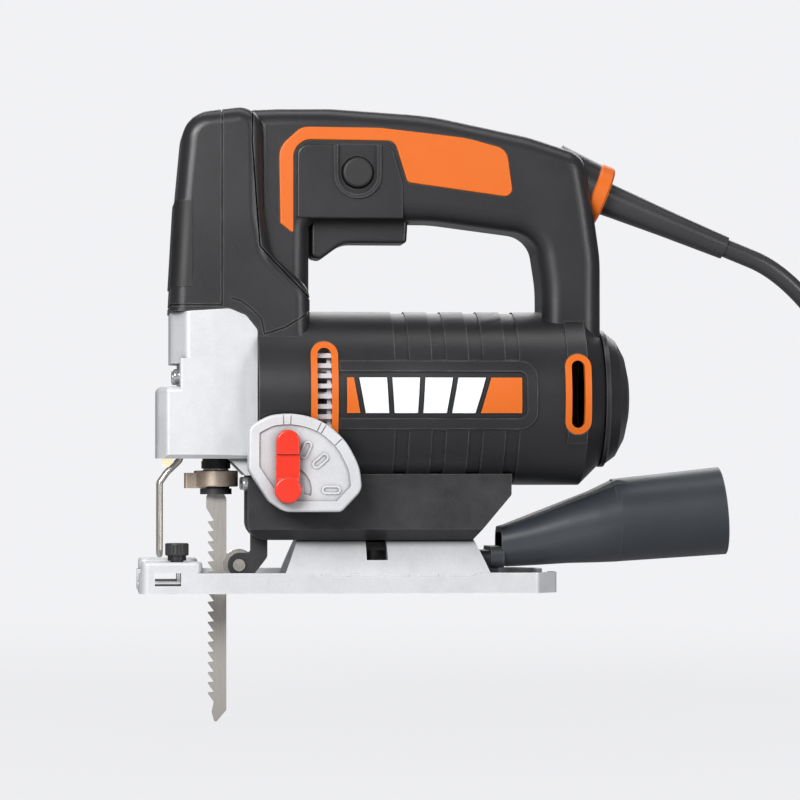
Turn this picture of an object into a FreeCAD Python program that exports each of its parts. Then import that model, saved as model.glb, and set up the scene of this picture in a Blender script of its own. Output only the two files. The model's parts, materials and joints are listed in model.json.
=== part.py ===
"""Corded orbital-action jigsaw with a closed D handle.

Frame: X runs from the blade to the rear, Z up, Y across. The origin is where the blade's centreline crosses
the underside of the base plate. The tool's left side, with the orbit lever, is the -Y side. Millimetres.
"""
import FreeCAD
import Part
import math
import os

V = FreeCAD.Vector
X_AXIS, Y_AXIS = V(1, 0, 0), V(0, 1, 0)
os.makedirs("parts", exist_ok=True)

# ---------------------------------------------------------------- driving dimensions
FIT = 0.2  # gap between pieces that are assembled without play
RUN = 0.4  # gap between pieces that move past each other
SHAFT_FIT = 0.05  # radial clearance of a running shaft

# housing
MOTOR_Z = 76.6  # height of the motor axis over the sole
BARREL_R = 34.6
BARREL_FRONT = 15.6
BARREL_TAPER_X = 145.0  # the rear taper starts here
BARREL_REAR = 153.2
BARREL_REAR_R = 26.5
COLLAR_FRONT = 137.0  # front of the raised ring round the rear vents
COLLAR_PROUD = 0.7
WALL = 2.8  # moulded wall of the housing
GRIP_HALF = 18.0  # half width of the handle
GRIP_EDGE = 7.0  # rounding along the handle's edges
HEAD_HALF = 25.0  # half width of the head and gear housing
HEAD_EDGE = 6.0
GROOVE_PITCH = 14.5
GROOVE_WIDTH = 5.4
GROOVE_DEPTH = 0.6
GROOVE_COUNT = 4
FIRST_GROOVE_X = 71.8
SEAM_WIDTH = 0.7
SEAM_DEPTH = 0.8
NOSE_REAR = 1.5  # the nose cover ends here
NOSE_BOTTOM = 112.8
PAD_REAR, PAD_BOTTOM, PAD_TOP = -10.4, 120.0, 154.0
VENT_FRONT_X, VENT_FRONT_WIDTH, VENT_FRONT_TOP, VENT_FRONT_BOTTOM = 41.2, 10.9, 98.6, 56.0
VENT_REAR_X, VENT_REAR_WIDTH, VENT_REAR_TOP, VENT_REAR_BOTTOM = 141.0, 10.5, 93.8, 62.0
VENT_RIM = 2.6
VENT_PROUD = 0.9
BADGE_FRAME_REAR, BADGE_FRAME_TOP, BADGE_FRAME_BOTTOM = 124.9, 90.9, 64.2
BADGE_FRAME_WIDTH = 4.2
BADGE_PROUD = 0.8
BADGE_FRONT, BADGE_REAR, BADGE_TOP, BADGE_BOTTOM = 49.9, 118.6, 84.3, 70.4
CORD_EXIT_X, CORD_EXIT_Z = 153.0, 158.5
CORD_EXIT_FALL = 22.0  # degrees that the exit points below the horizontal
COLLAR_R, COLLAR_LENGTH = 12.6, 6.2
BOOT_LENGTH = 56.0

# base plate
PLATE_FRONT = -31.0
PLATE_REAR = 133.0
PLATE_HALF = 37.5
PLATE_THICK = 3.0
RIM_HEIGHT = 8.0
RIM_THICK = 2.4
BLOCK_TOP = 12.4  # top of the two front blocks that carry the fence
BLOCK_INNER = 25.0
BLOCK_FRONT = -30.3
BLOCK_REAR = -6.5
SLOT_HALF = 12.6  # half width of the opening round the blade
SLOT_FRONT, SLOT_REAR = -14.0, 23.5
FENCE_SLOT_FRONT = -25.0
FENCE_SLOT_REAR = -14.8
FENCE_SLOT_LOW, FENCE_SLOT_HIGH = 1.6, 8.2
RECESS_FRONT, RECESS_REAR, RECESS_DEPTH = 34.0, 104.0, 1.4
SCALE_BLOCKS, SCALE_PITCH, SCALE_FIRST = 5, 11.4, 41.9
SADDLE_R = 23.0
SADDLE_THICK = 2.6
SADDLE_FRONT_TOP = 33.0
SADDLE_FRONT_BOTTOM = 27.0
SADDLE_REAR_TOP = 100.7
SADDLE_REAR_BOTTOM = 107.5
BEVEL_LIMIT = 45.0
BOLT_X, BOLT_R = 63.0, 3.0
FOOT_HALF = 17.5
FOOT_FRONT = 12.0
FOOT_REAR = 116.5
FOOT_BOTTOM = 20.4
FENCE_SCREW_X, FENCE_SCREW_Y = -16.3, -31.0

# blade drive
STROKE = 20.0
SWING_Z = 160.0  # height of the swinging guide's pivot
PLUNGER_R = 5.0
PLUNGER_TOP = 154.0
GUIDE_HALF_X, GUIDE_INNER_Y, GUIDE_THICK = 8.0, 18.4, 2.0
LOWER_BUSH_Z, UPPER_BUSH_Z, BUSH_LENGTH = 58.0, 122.0, 11.0
CLAMP_R = 8.8
CLAMP_BOTTOM = 41.4
CLAMP_TOP = 47.8
HUB_BOTTOM = 38.4
HUB_R = 5.4
BLADE_TIP = -51.9
BLADE_THICK = 1.4
BLADE_FRONT, BLADE_BACK = -3.8, 4.2
BLADE_SHOULDER = 37.4
TOOTH_PITCH = 4.0
TOOTH_COUNT = 18
TOOTH_DEPTH = 2.4
FIRST_TOOTH_Z = 27.6
ROLLER_X, ROLLER_Z, ROLLER_R, ROLLER_HALF = 9.0, 10.3, 6.3, 3.0
ARM_PIVOT_X, ARM_PIVOT_Z = 18.0, 36.0
ARM_INNER, ARM_THICK = 3.4, 2.0
GEAR_MODULE = 0.75
PINION_TEETH = 9
GEAR_TEETH = 54
GEAR_BACKLASH = 0.55
GEAR_FRONT, GEAR_WIDTH = 7.5, 5.0
CRANK_PIN_R = 3.0
BEARING_PLATE_X, BEARING_PLATE_THICK = 17.0, 3.0

# orbit selector
LEVER_X, LEVER_Z = 26.3, 40.4
LEVER_LENGTH = 23.4
LEVER_WIDTH = 9.2
LEVER_HUB_R = 5.2
PIN_HEAD_R = 2.4
LEVER_STEP = 14.0  # height above the hub where the arm's face steps down
CAM_R = 3.0
SELECTOR_FACE = 38.6  # distance of the selector plate's face from the middle plane
SELECTOR_BACK = 26.0

# motor
SHAFT_R = 4.5
CORE_R, CORE_FRONT, CORE_REAR = 17.0, 54.0, 92.0
STATOR_INNER, STATOR_OUTER = 17.6, 29.0
FAN_R = 29.0
FRONT_BEARING_R, REAR_BEARING_R, BEARING_WIDTH = 11.0, 9.5, 7.0
REAR_BEARING_X = 133.0
COMMUTATOR_R, COMMUTATOR_FRONT, COMMUTATOR_REAR = 10.5, 104.0, 117.0

# cord
CORD_D = 7.5
FLOOR_Z = -52.0
COIL_X, COIL_Y = 345.0, 0.0
COIL_MEAN_R = 41.5
COIL_INNER_R, COIL_OUTER_R, COIL_HEIGHT = 29.5, 53.5, 23.0
TIE_THICK = 1.0
PLUG_FRONT, PLUG_REAR = 262.0, 300.0
INLAY_CORNERS = [(24.1, 175.5, 9), (33.0, 183.6, 7), (64.0, 183.4, 40), (98.4, 179.6, 60), (114.6, 175.2, 6),
                 (117.2, 156.0, 3), (75.0, 161.8, 2), (69.9, 178.2, 4), (29.9, 178.6, 7), (29.9, 141.2, 0.6),
                 (24.6, 145.4, 0.6)]
LOCK_X, LOCK_Z, LOCK_R = 55.2, 165.6, 6.1
SCREW_PLACES = [(36.0, 184.5, GRIP_HALF), (25.0, 121.0, HEAD_HALF), (104.0, 170.0, GRIP_HALF),
                (139.6, 146.0, GRIP_HALF), (144.0, 118.0, GRIP_HALF)]  # x, z, half width of the housing there
TRIGGER_CORNERS = [(37.0, 152.0), (37.0, 132.6, 2), (41.0, 131.6, 3), (50.0, 138.2, 10), (75.4, 138.2, 1.5),
                   (76.2, 152.0)]
TRIGGER_TRAVEL = 6.0
GEAR_CASE_BOTTOM = 52.6
GEAR_Z = MOTOR_Z + GEAR_MODULE * (PINION_TEETH + GEAR_TEETH) / 2
CASE_WALL = 3.0
PLUNGER_WINDOW = (-3.0, 9.0)  # centre and radius of the opening that the plunger swings in
GUARD_R, GUARD_HALF, GUARD_TOP_X, GUARD_FRONT_X = 1.2, 6.0, -14.4, -22.4
LENS_X = -19.2
CASE_SCREWS = [(-18.5, 80.0), (18.5, 80.0), (-18.5, 60.0), (18.5, 60.0)]
SELECTOR_CORNERS = [(11.2, 48.2, 5), (11.3, 65.2, 5), (19.5, 69.6, 14), (30.5, 70.6, 30), (41.5, 66.6, 24),
                    (49.6, 59.2, 24), (54.6, 49.4, 20), (55.6, 40.4, 6), (47.4, 31.8, 3), (25.2, 31.8, 8),
                    (19.4, 35.8, 6)]
MARK_RING_R = 17.2
MARK_ANGLES = (25.0, 49.0, 90.0)
MARK_LENGTH, MARK_WIDTH, MARK_WALL = 7.4, 3.4, 0.75
GATE_INNER_R, GATE_OUTER_R, GATE_ANGLE = 6.6, 9.6, 104.0
TICK_ANGLES = (-3.0, 3.0, 27.0, 31.0, 47.0)
TICK_WIDTH, TICK_DEPTH = 0.5, 0.4
TICK_REACH = (21.0, 34.0)
SELECTOR_RIM, SELECTOR_WALL = 4.2, 3.0
FOOT_SCREW_Y, FOOT_SCREW_Z = 13.5, 42.6
PLUG_Y, PLUG_Z = -COIL_MEAN_R, FLOOR_Z + 11.8


# ---------------------------------------------------------------- helpers
def on_side(a, b):
    return V(a, 0, b)


def on_plan(a, b):
    return V(a, b, 0)


def on_section(a, b):
    return V(0, a, b)


def outline(points, place=on_side):
    """A closed wire through (a, b, radius) corners: straight runs joined by tangent arcs."""
    corners = [(p[0], p[1], p[2] if len(p) > 2 else 0.0) for p in points]
    stops = []
    for i, (a, b, r) in enumerate(corners):
        here = V(a, b, 0)
        if r <= 0:
            stops.append((here, None, here))
            continue
        before = V(*corners[i - 1][:2], 0) - here
        after = V(*corners[(i + 1) % len(corners)][:2], 0) - here
        before.normalize()
        after.normalize()
        half = before.getAngle(after) / 2
        reach = r / math.tan(half)
        middle = (before + after).normalize()
        tip = here + middle * (r / math.sin(half) - r)
        stops.append((here + before * reach, tip, here + after * reach))
    edges = []
    for i, (start, tip, end) in enumerate(stops):
        if tip is not None:
            edges.append(Part.Arc(place(start.x, start.y), place(tip.x, tip.y),
                                  place(end.x, end.y)).toShape())
        following = stops[(i + 1) % len(stops)][0]
        if (following - end).Length > 1e-6:
            edges.append(Part.makeLine(place(end.x, end.y), place(following.x, following.y)))
    return Part.Wire(edges)


def grown(wire, amount):
    """The wire moved outwards in its plane, or inwards when amount is negative."""
    return wire if abs(amount) < 1e-9 else wire.makeOffset2D(amount)


def swept(wire, start, vector):
    """The solid that a closed wire sweeps along vector, after it is moved by start."""
    face = Part.Face(wire)
    face.translate(start)
    solid = face.extrude(vector)
    return solid if solid.Volume > 0 else solid.reversed()


def side_slab(wire, y_low, y_high):
    """A side-view outline given its width, from y_low to y_high."""
    return swept(wire, V(0, y_low, 0), V(0, y_high - y_low, 0))


def plan_slab(points, z_low, z_high):
    """A plan-view outline of (x, y, radius) corners given its height."""
    return swept(outline(points, on_plan), V(0, 0, z_low), V(0, 0, z_high - z_low))


def section_slab(points, x_low, x_high):
    """A cross-section of (y, z, radius) corners given its length along X."""
    return swept(outline(points, on_section), V(x_low, 0, 0), V(x_high - x_low, 0, 0))


def box(x_low, x_high, y_low, y_high, z_low, z_high):
    return Part.makeBox(x_high - x_low, y_high - y_low, z_high - z_low, V(x_low, y_low, z_low))


def rod(radius, start, end):
    direction = end - start
    return Part.makeCylinder(radius, direction.Length, start, direction)


def tube(outer, inner, start, end):
    return rod(outer, start, end).cut(rod(inner, start, end))


def motor_rod(radius, x_low, x_high):
    return rod(radius, V(x_low, 0, MOTOR_Z), V(x_high, 0, MOTOR_Z))


def motor_tube(outer, inner, x_low, x_high):
    return motor_rod(outer, x_low, x_high).cut(motor_rod(inner, x_low, x_high))


def turned(profile, z=MOTOR_Z):
    """A solid of revolution about the line along X at height z, from (x, radius) points."""
    points = [V(x, 0, z + r) for x, r in profile]
    solid = Part.Face(Part.makePolygon(points + points[:1])).revolve(V(0, 0, z), X_AXIS, 360)
    return solid if solid.Volume > 0 else solid.reversed()


def mirrored(shape):
    return shape.mirror(V(0, 0, 0), Y_AXIS)


def fuse_all(shapes):
    return shapes[0].multiFuse(shapes[1:]) if len(shapes) > 1 else shapes[0]


def softened(shape, radius, chosen):
    """Edges that chosen(edge) accepts, rounded. A radius the kernel can't build is made smaller until it can."""
    edges = [e for e in shape.Edges if chosen(e)]
    while edges and radius > 0.1:
        try:
            done = shape.makeFillet(radius, edges)
            if done.isValid() and done.Volume > 0:
                return done
        except Part.OCCError:
            pass
        radius *= 0.75
        print(f"  rounding reduced to {radius:.2f}")
    return shape


def edge_on_y(y):
    """Accepts edges that lie in the plane Y = y."""
    return lambda e: abs(e.BoundBox.YMin - y) < 1e-4 and abs(e.BoundBox.YMax - y) < 1e-4


def on_both_y(y):
    return lambda e: edge_on_y(y)(e) or edge_on_y(-y)(e)


def edge_on_z(z):
    return lambda e: abs(e.BoundBox.ZMin - z) < 1e-4 and abs(e.BoundBox.ZMax - z) < 1e-4


def ribbon(points, width, y_low, y_high):
    """A strip that follows an open line of (x, z) points in side view."""
    pieces = []
    for (xa, za), (xb, zb) in zip(points, points[1:]):
        a, b = V(xa, y_low, za), V(xb, y_low, zb)
        across = Y_AXIS.cross(b - a).normalize() * (width / 2)
        strip = Part.makePolygon([a + across, b + across, b - across, a - across, a + across])
        pieces.append(swept(strip, V(0, 0, 0), V(0, y_high - y_low, 0)))
        pieces.append(Part.makeCylinder(width / 2, y_high - y_low, b, Y_AXIS))
    return fuse_all(pieces[:-1])


def stadium(x, z_low, z_high, width, grow=0.0):
    """An upright slot outline with round ends, centred on x."""
    half = width / 2 + grow
    r = half - 0.01
    return outline([(x - half, z_low - grow, r), (x + half, z_low - grow, r),
                    (x + half, z_high + grow, r), (x - half, z_high + grow, r)])


def save(name, shape):
    """Writes one node's STEP file, cleaned of seams between coplanar faces."""
    clean = shape.copy().removeSplitter()
    if not clean.isValid() or abs(clean.Volume - shape.Volume) > 0.001 * shape.Volume:
        clean = shape
    print(f"{name:22s} solids {len(clean.Solids)}  volume {clean.Volume / 1000:9.3f} cm3  valid {clean.isValid()}")
    clean.exportStep(f"parts/{name}.step")


# ---------------------------------------------------------------- outer form of the housing
def loop_corners():
    """The handle and its rear post in side view, from inside the head to inside the barrel."""
    return [(12.0, 84.0), (12.0, 190.6), (24.0, 191.2, 60), (45.0, 191.4, 60), (84.0, 188.9, 120),
            (124.0, 180.6, 40),
            (146.0, 173.6, 10), (149.8, 152.0, 60), (152.6, 132.0, 60), (152.6, 84.0)]


def head_corners():
    """The head in front of the handle, nose included, running on down into the gear housing."""
    return [(-19.8, 96.0), (-16.6, 152.0, 80), (-13.2, 188.3, 12), (17.4, 192.2, 9), (18.0, 150.0, 40),
            (21.0, 133.0, 12), (36.2, 119.5, 10), (36.2, 96.0)]


def gear_region(grow=0.0):
    """Everything that the gear housing takes from the head and the barrel, grown by a gap."""
    return side_slab(outline([(-60, 40), (-60, 110.2 + grow), (-19.0, 110.2 + grow), (4.4, 111.7 + grow, 4),
                              (11.0, 109.0 + grow, 4), (BARREL_FRONT, 103.4 + grow, 3), (BARREL_FRONT,
                                                                                         40)]), -60, 60)


def opening_corners():
    """The grip opening, with the trigger's recess left to its own cut."""
    return [(36.2, 100.0), (36.2, 146.8, 4), (86.0, 146.6, 60), (126.0, 141.4, 11), (129.2, 121.0, 60),
            (129.2, 100.0)]


def handle_body(inset=0.0):
    slab = side_slab(grown(outline(loop_corners()), -inset), -GRIP_HALF + inset, GRIP_HALF - inset)
    gap = side_slab(grown(outline(opening_corners()), inset), -40, 40)
    solid = slab.cut(gap)
    side = on_both_y(GRIP_HALF - inset)
    return softened(solid, GRIP_EDGE - min(inset, 3.0), lambda e: side(e) and e.BoundBox.ZMax > 88)


def head_body(inset=0.0):
    half = HEAD_HALF - inset
    slab = side_slab(grown(outline(head_corners()), -inset), -half, half)
    side = on_both_y(half)
    return softened(slab, HEAD_EDGE - min(inset, 3.0), lambda e: side(e) and e.BoundBox.ZMax > 100)


def barrel_body(inset=0.0):
    r = BARREL_R - inset
    return turned([(BARREL_FRONT + inset, 0), (BARREL_FRONT + inset, r), (BARREL_TAPER_X, r),
                   (BARREL_REAR - inset, BARREL_REAR_R - inset), (BARREL_REAR - inset, 0)])


def exit_frame():
    """Where the cord leaves the handle, and the direction it points in."""
    fall = math.radians(CORD_EXIT_FALL)
    return V(CORD_EXIT_X, 0, CORD_EXIT_Z), V(math.cos(fall), 0, -math.sin(fall))


def sleeve_body():
    centre, along = exit_frame()
    return Part.makeCone(13.4, COLLAR_R - 0.6, 17.0, centre - along * (17.0 + COLLAR_LENGTH / 2), along)


def badge_frame_solid():
    """A raised frame on the barrel's side, open towards the front vent and round at the rear."""
    x0 = VENT_FRONT_X + VENT_FRONT_WIDTH / 2 + 0.4
    outer = outline([(x0, BADGE_FRAME_BOTTOM), (BADGE_FRAME_REAR, BADGE_FRAME_BOTTOM, 7),
                     (BADGE_FRAME_REAR, BADGE_FRAME_TOP, 7), (x0, BADGE_FRAME_TOP)])
    w = BADGE_FRAME_WIDTH
    inner = outline([(x0 - 5, BADGE_FRAME_BOTTOM + w), (BADGE_FRAME_REAR - w, BADGE_FRAME_BOTTOM + w, 3),
                     (BADGE_FRAME_REAR - w, BADGE_FRAME_TOP - w, 3), (x0 - 5, BADGE_FRAME_TOP - w)])
    band = side_slab(outer, -40, 0).cut(side_slab(inner, -40, 0))
    shell = motor_tube(BARREL_R + BADGE_PROUD, BARREL_R - 1, 40, 130)
    left = band.common(shell)
    return left.fuse(mirrored(left))


def vent_cut(x, z_low, z_high, width, grow):
    return side_slab(stadium(x, z_low, z_high, width, grow), -60, 60)


def seam_grooves():
    """Panel lines: the second line down the head, and the lower head's rounded panel."""
    line = [(13.6, 193.0), (13.2, 178.0), (16.3, 136.0), (34.0, 117.6), (40.0, 112.0)]
    panel = [(5.0, 115.6), (9.0, 114.4), (13.4, 111.0), (17.0, 107.2), (18.2, 101.4), (26.5, 104.2),
             (37.0, 110.8)]
    return ribbon(line, SEAM_WIDTH, -60, 60).fuse(ribbon(panel, SEAM_WIDTH, -60, 60))


def switch_pad():
    """The raised field under the inlay that carries the lock button, with the ridge round the button."""
    pad = side_slab(outline([(31.2, 147.5, 1), (31.2, 177.0, 5), (68.8, 176.8, 4), (73.4, 161.6, 2),
                             (73.4, 147.5, 1)]),
                    -GRIP_HALF - 0.9, -GRIP_HALF + 3)
    pad = softened(pad, 0.8, edge_on_y(-GRIP_HALF - 0.9))
    ridge = side_slab(outline([(45.9, 155.4, 9.2), (64.5, 155.4, 9.2), (64.5, 176.4), (45.9, 176.4)]),
                      -GRIP_HALF - 2.0, -GRIP_HALF + 3)
    hollow = side_slab(outline([(47.4, 156.9, 7.7), (63.0, 156.9, 7.7), (63.0, 180.0), (47.4, 180.0)]),
                       -GRIP_HALF - 3.0, -GRIP_HALF - 0.4)
    return pad.fuse(ridge).cut(hollow)


def trigger_slot():
    """Clear space for the trigger over its whole travel."""
    return box(36.6, 76.8, -10.4, 10.4, 140.0, 152.0 + TRIGGER_TRAVEL + RUN)


def housing_inside():
    """The cavity of the moulded halves, with the bosses and ribs that stay."""
    hollow = fuse_all([handle_body(WALL), head_body(WALL), barrel_body(WALL)])
    front_mouth = motor_rod(BARREL_R - WALL, BARREL_FRONT - 5, BARREL_FRONT + WALL + 1)
    rear_mouth = motor_rod(BARREL_REAR_R - WALL, BARREL_REAR - WALL - 5, BARREL_REAR + 5)
    return fuse_all([hollow, front_mouth, rear_mouth])


def internal_ribs():
    """Seats for the stator and the rear bearing, and the fan's baffle."""
    r = BARREL_R - WALL + 0.5
    ribs = [motor_tube(r, STATOR_OUTER, x, x + 2.4) for x in (CORE_FRONT + 2, CORE_REAR - 4.4)]
    ribs.append(motor_tube(r, FAN_R - 1.5, 48.9, 50.4))
    ribs.append(motor_tube(r, REAR_BEARING_R, REAR_BEARING_X, REAR_BEARING_X + 4.0))
    return fuse_all(ribs)


def screw_bosses():
    return fuse_all([rod(4.2, V(x, 1 - half, z), V(x, half - 1, z)) for x, z, half in SCREW_PLACES])


def housing_screw(x, z, half, gap=0.0):
    """One screw that closes the halves, head on the right; with a gap it is the hole for it."""
    head_top = half if gap else half - 3.4
    return rod(1.6 + gap, V(x, -8 - gap, z), V(x, half - 6, z)).fuse(
        rod(3.2 + gap, V(x, half - 6, z), V(x, head_top + 2 * gap, z)))


def build_housing():
    outer_parts = [handle_body(), head_body(), barrel_body(), sleeve_body()]
    outer = fuse_all(outer_parts)
    skin_keep = fuse_all([handle_body(SEAM_DEPTH), head_body(SEAM_DEPTH), barrel_body(SEAM_DEPTH)])
    nose_region = box(-40, NOSE_REAR, -60, 60, NOSE_BOTTOM, 220)
    nose_line = ribbon([(NOSE_REAR, 200.0), (NOSE_REAR, NOSE_BOTTOM), (-40.0, NOSE_BOTTOM)], SEAM_WIDTH,
                       -60, 60)
    grooves = seam_grooves().fuse(nose_line).cut(skin_keep)
    body = outer.cut(grooves)
    # raised collar round the rear vents, the badge frame and the switch field
    ring = motor_tube(BARREL_R + COLLAR_PROUD, BARREL_R - 1, COLLAR_FRONT, BARREL_TAPER_X)
    ring = ring.common(box(130, 150, -60, 60, 58.3, 130))
    body = fuse_all([body, ring, badge_frame_solid(), switch_pad()])
    # hand grooves round the barrel, clear of the badge frame
    for i in range(GROOVE_COUNT):
        x = FIRST_GROOVE_X + i * GROOVE_PITCH
        groove = motor_tube(BARREL_R + 2, BARREL_R - GROOVE_DEPTH, x - GROOVE_WIDTH / 2, x + GROOVE_WIDTH / 2)
        keep_out = box(x - 10, x + 10, -60, 60, BADGE_FRAME_BOTTOM - 0.4, BADGE_FRAME_TOP + 0.4)
        body = body.cut(groove.cut(keep_out))
    # cavity, bosses, vents, openings
    bosses = screw_bosses().common(fuse_all([handle_body(1.0), head_body(1.0)]))
    inside = housing_inside().cut(internal_ribs()).cut(bosses)
    body = body.cut(inside)
    body = body.cut(vent_cut(VENT_FRONT_X, VENT_FRONT_BOTTOM, VENT_FRONT_TOP, VENT_FRONT_WIDTH, 0))
    body = body.cut(vent_cut(VENT_REAR_X, VENT_REAR_BOTTOM, VENT_REAR_TOP, VENT_REAR_WIDTH, 0))
    body = body.cut(trigger_slot())
    body = body.cut(rod(LOCK_R + RUN, V(LOCK_X, -40, LOCK_Z), V(LOCK_X, -GRIP_HALF + WALL + 2, LOCK_Z)))
    for x, z, half in SCREW_PLACES:
        body = body.cut(housing_screw(x, z, half, FIT))
    centre, along = exit_frame()
    body = body.cut(rod(4.4, centre - along * 30, centre + along * 10))
    body = body.cut(rod(9.0, centre - along * 14, centre - along * 9.5))
    body = body.cut(rod(COLLAR_R + FIT, centre - along * (COLLAR_LENGTH / 2), centre + along * 20))
    body = body.cut(rod(CAM_R + RUN, V(LEVER_X, -40, LEVER_Z), V(LEVER_X, 9, LEVER_Z)))
    # pockets for the inlays
    for side in (-1, 1):
        body = body.cut(inlay(side, FIT / 2))
    body = body.cut(gear_region())
    nose = body.common(nose_region)
    body = body.cut(nose_region)
    left = body.common(box(-60, 200, -60, 0, 0, 240))
    right = body.common(box(-60, 200, 0, 60, 0, 240))
    return left, right, nose


def inlay(side, grow=0.0):
    """A soft orange inlay on one side of the handle: it stands 0.7 proud of the moulded skin."""
    wire = grown(outline(INLAY_CORNERS), grow)
    low, high = sorted((side * (GRIP_HALF - 1.4 - grow), side * (GRIP_HALF + 0.7)))
    solid = side_slab(wire, low, high)
    if grow == 0.0:
        solid = softened(solid, 0.5, edge_on_y(side * (GRIP_HALF + 0.7)))
    return solid


def build_nose_pad(nose):
    """A soft pad let into the front of the nose cover."""
    region = box(-40, PAD_REAR, -60, 60, PAD_BOTTOM, PAD_TOP)
    deep = head_body(1.3)
    proud = side_slab(grown(outline(head_corners()), 0.5), -HEAD_HALF - 0.5, HEAD_HALF + 0.5)
    side = on_both_y(HEAD_HALF + 0.5)
    proud = softened(proud, HEAD_EDGE + 0.5, lambda e: side(e) and e.BoundBox.ZMax > 100)
    pad = proud.common(region).cut(deep)
    pocket = region.cut(deep)
    return pad, nose.cut(pocket)


# ---------------------------------------------------------------- trim of the housing
def vent_frame(x, z_low, z_high, width, side):
    """A coloured frame let into the barrel's wall, following its curve."""
    ring = side_slab(stadium(x, z_low, z_high, width, -FIT / 2), min(0, side * 60), max(0, side * 60))
    ring = ring.cut(side_slab(stadium(x, z_low, z_high, width, -VENT_RIM), -60, 60))
    return ring.common(motor_tube(BARREL_R + VENT_PROUD, BARREL_R - WALL, x - 20, x + 20))


def vent_louvres():
    """Light fins across both front vents, held by their ends against the inside of the wall."""
    fins = []
    half = VENT_FRONT_WIDTH / 2 + 1.5
    z = VENT_FRONT_TOP - VENT_RIM - 3.0
    while z > VENT_FRONT_BOTTOM + 5:
        fins.append(box(VENT_FRONT_X - half, VENT_FRONT_X + half, -60, 60, z - 0.9, z + 0.9))
        z -= 4.0
    shell = motor_tube(BARREL_R - WALL, BARREL_R - WALL - 2.4, VENT_FRONT_X - half, VENT_FRONT_X + half)
    walls = fuse_all([box(VENT_FRONT_X + s * half - 0.6, VENT_FRONT_X + s * half + 0.6, -60, 60,
                          VENT_FRONT_BOTTOM, VENT_FRONT_TOP) for s in (-1, 1)])
    return fuse_all(fins + [walls]).common(shell)


def badge_plates():
    """Generic slanted bars between two coloured end pieces, standing on the barrel inside the badge frame."""
    slant = 4.2
    gap = 2.2

    def bar(x0, x1, left_slant, right_slant):
        wire = outline([(x0 + left_slant, BADGE_BOTTOM), (x1 + right_slant, BADGE_BOTTOM), (x1, BADGE_TOP),
                        (x0, BADGE_TOP)])
        slab = side_slab(wire, -60, 0)
        return slab.common(motor_tube(BARREL_R + 1.0, BARREL_R, BADGE_FRONT - 5, BADGE_REAR + 5))

    end = 17.0
    colour = [bar(BADGE_FRONT, BADGE_FRONT + 2.6, 0, slant * 0.6),
              bar(BADGE_REAR - end + 5, BADGE_REAR, -slant, 0)]
    first, last = BADGE_FRONT + 2.6 + gap, BADGE_REAR - end + 5 - gap
    count = 4
    width = (last - first - (count - 1) * gap) / count
    white = [bar(first + i * (width + gap), first + i * (width + gap) + width,
                 slant * (0.6 - 0.4 * i), slant * (0.2 - 0.4 * i)) for i in range(count)]
    return fuse_all(white), fuse_all(colour)


def cord_collar():
    centre, along = exit_frame()
    start = centre - along * (COLLAR_LENGTH / 2)
    ring = tube(COLLAR_R, 7.0, start, start + along * COLLAR_LENGTH)
    rims = [e for e in ring.Edges if e.Length > 6.2 * COLLAR_R]
    return ring.makeChamfer(0.9, rims)


def cord_boot():
    """The bend relief: a flange held inside the sleeve, then a long taper."""
    centre = exit_frame()[0]
    body = [(-14.0, 3.9), (-14.0, 8.6), (-9.7, 8.6), (-9.7, 4.2), (COLLAR_LENGTH / 2 + 0.3, 4.2),
            (COLLAR_LENGTH / 2 + 0.3, 6.8), (COLLAR_LENGTH / 2 + 5, 6.5), (30.0, 5.5), (BOOT_LENGTH, 4.7),
            (BOOT_LENGTH, 3.9)]
    points = [V(x, 0, r) for x, r in body]
    solid = Part.Face(Part.makePolygon(points + points[:1])).revolve(V(0, 0, 0), X_AXIS, 360)
    solid.rotate(V(0, 0, 0), Y_AXIS, CORD_EXIT_FALL)
    solid.translate(centre)
    return solid


def inner_lead():
    centre, along = exit_frame()
    return rod(CORD_D / 2, centre - along * 30.0, centre + along * BOOT_LENGTH)


def cord_clamp():
    """A saddle over the lead inside the handle, with its two screws' tower."""
    centre, along = exit_frame()
    place = centre - along * 24.0
    block = box(-4, 4, -8.4, 8.4, -1.0, 5.6)
    block = block.cut(rod(CORD_D / 2, V(-9, 0, 0), V(9, 0, 0)))
    for y in (-6.2, 6.2):
        block = block.fuse(rod(1.9, V(0, y, 5.5), V(0, y, 6.8)))
    block.rotate(V(0, 0, 0), Y_AXIS, CORD_EXIT_FALL)
    block.translate(place)
    return block


def end_cap():
    """The domed cover over the rear bearing, plugged into the barrel."""
    r = BARREL_REAR_R
    outer = turned([(BARREL_REAR, 0), (BARREL_REAR, r + 0.9), (BARREL_REAR + 1.8, r + 0.9),
                    (BARREL_REAR + 2.2, r), (159.6, 23.4), (162.8, 17.6), (164.6, 10.5), (165.2,
                                                                                          4.0), (165.3, 0)])
    inner = turned([(BARREL_REAR - 1, 0), (BARREL_REAR - 1, r - 2.6), (158.0, 21.2), (160.6, 15.6),
                    (162.6, 4.0),
                    (162.8, 0)])
    plug = motor_tube(BARREL_REAR_R - WALL - FIT, BARREL_REAR_R - WALL - 2.0, BARREL_REAR - 5.0,
                      BARREL_REAR + 0.5)
    return outer.cut(inner).fuse(plug)


def trigger():
    solid = side_slab(outline(TRIGGER_CORNERS), -9.8, 9.8)
    return softened(solid, 1.6, lambda e: on_both_y(9.8)(e) and e.BoundBox.ZMin < 150)


def lock_button():
    face = -GRIP_HALF - 2.6
    cap = rod(LOCK_R, V(LOCK_X, face, LOCK_Z), V(LOCK_X, -GRIP_HALF + 5.0, LOCK_Z))
    cap = softened(cap, 1.2, edge_on_y(face))
    stem = rod(2.2, V(LOCK_X, -GRIP_HALF + 5.0, LOCK_Z), V(LOCK_X, -9.9, LOCK_Z))
    return cap.fuse(stem)


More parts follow.
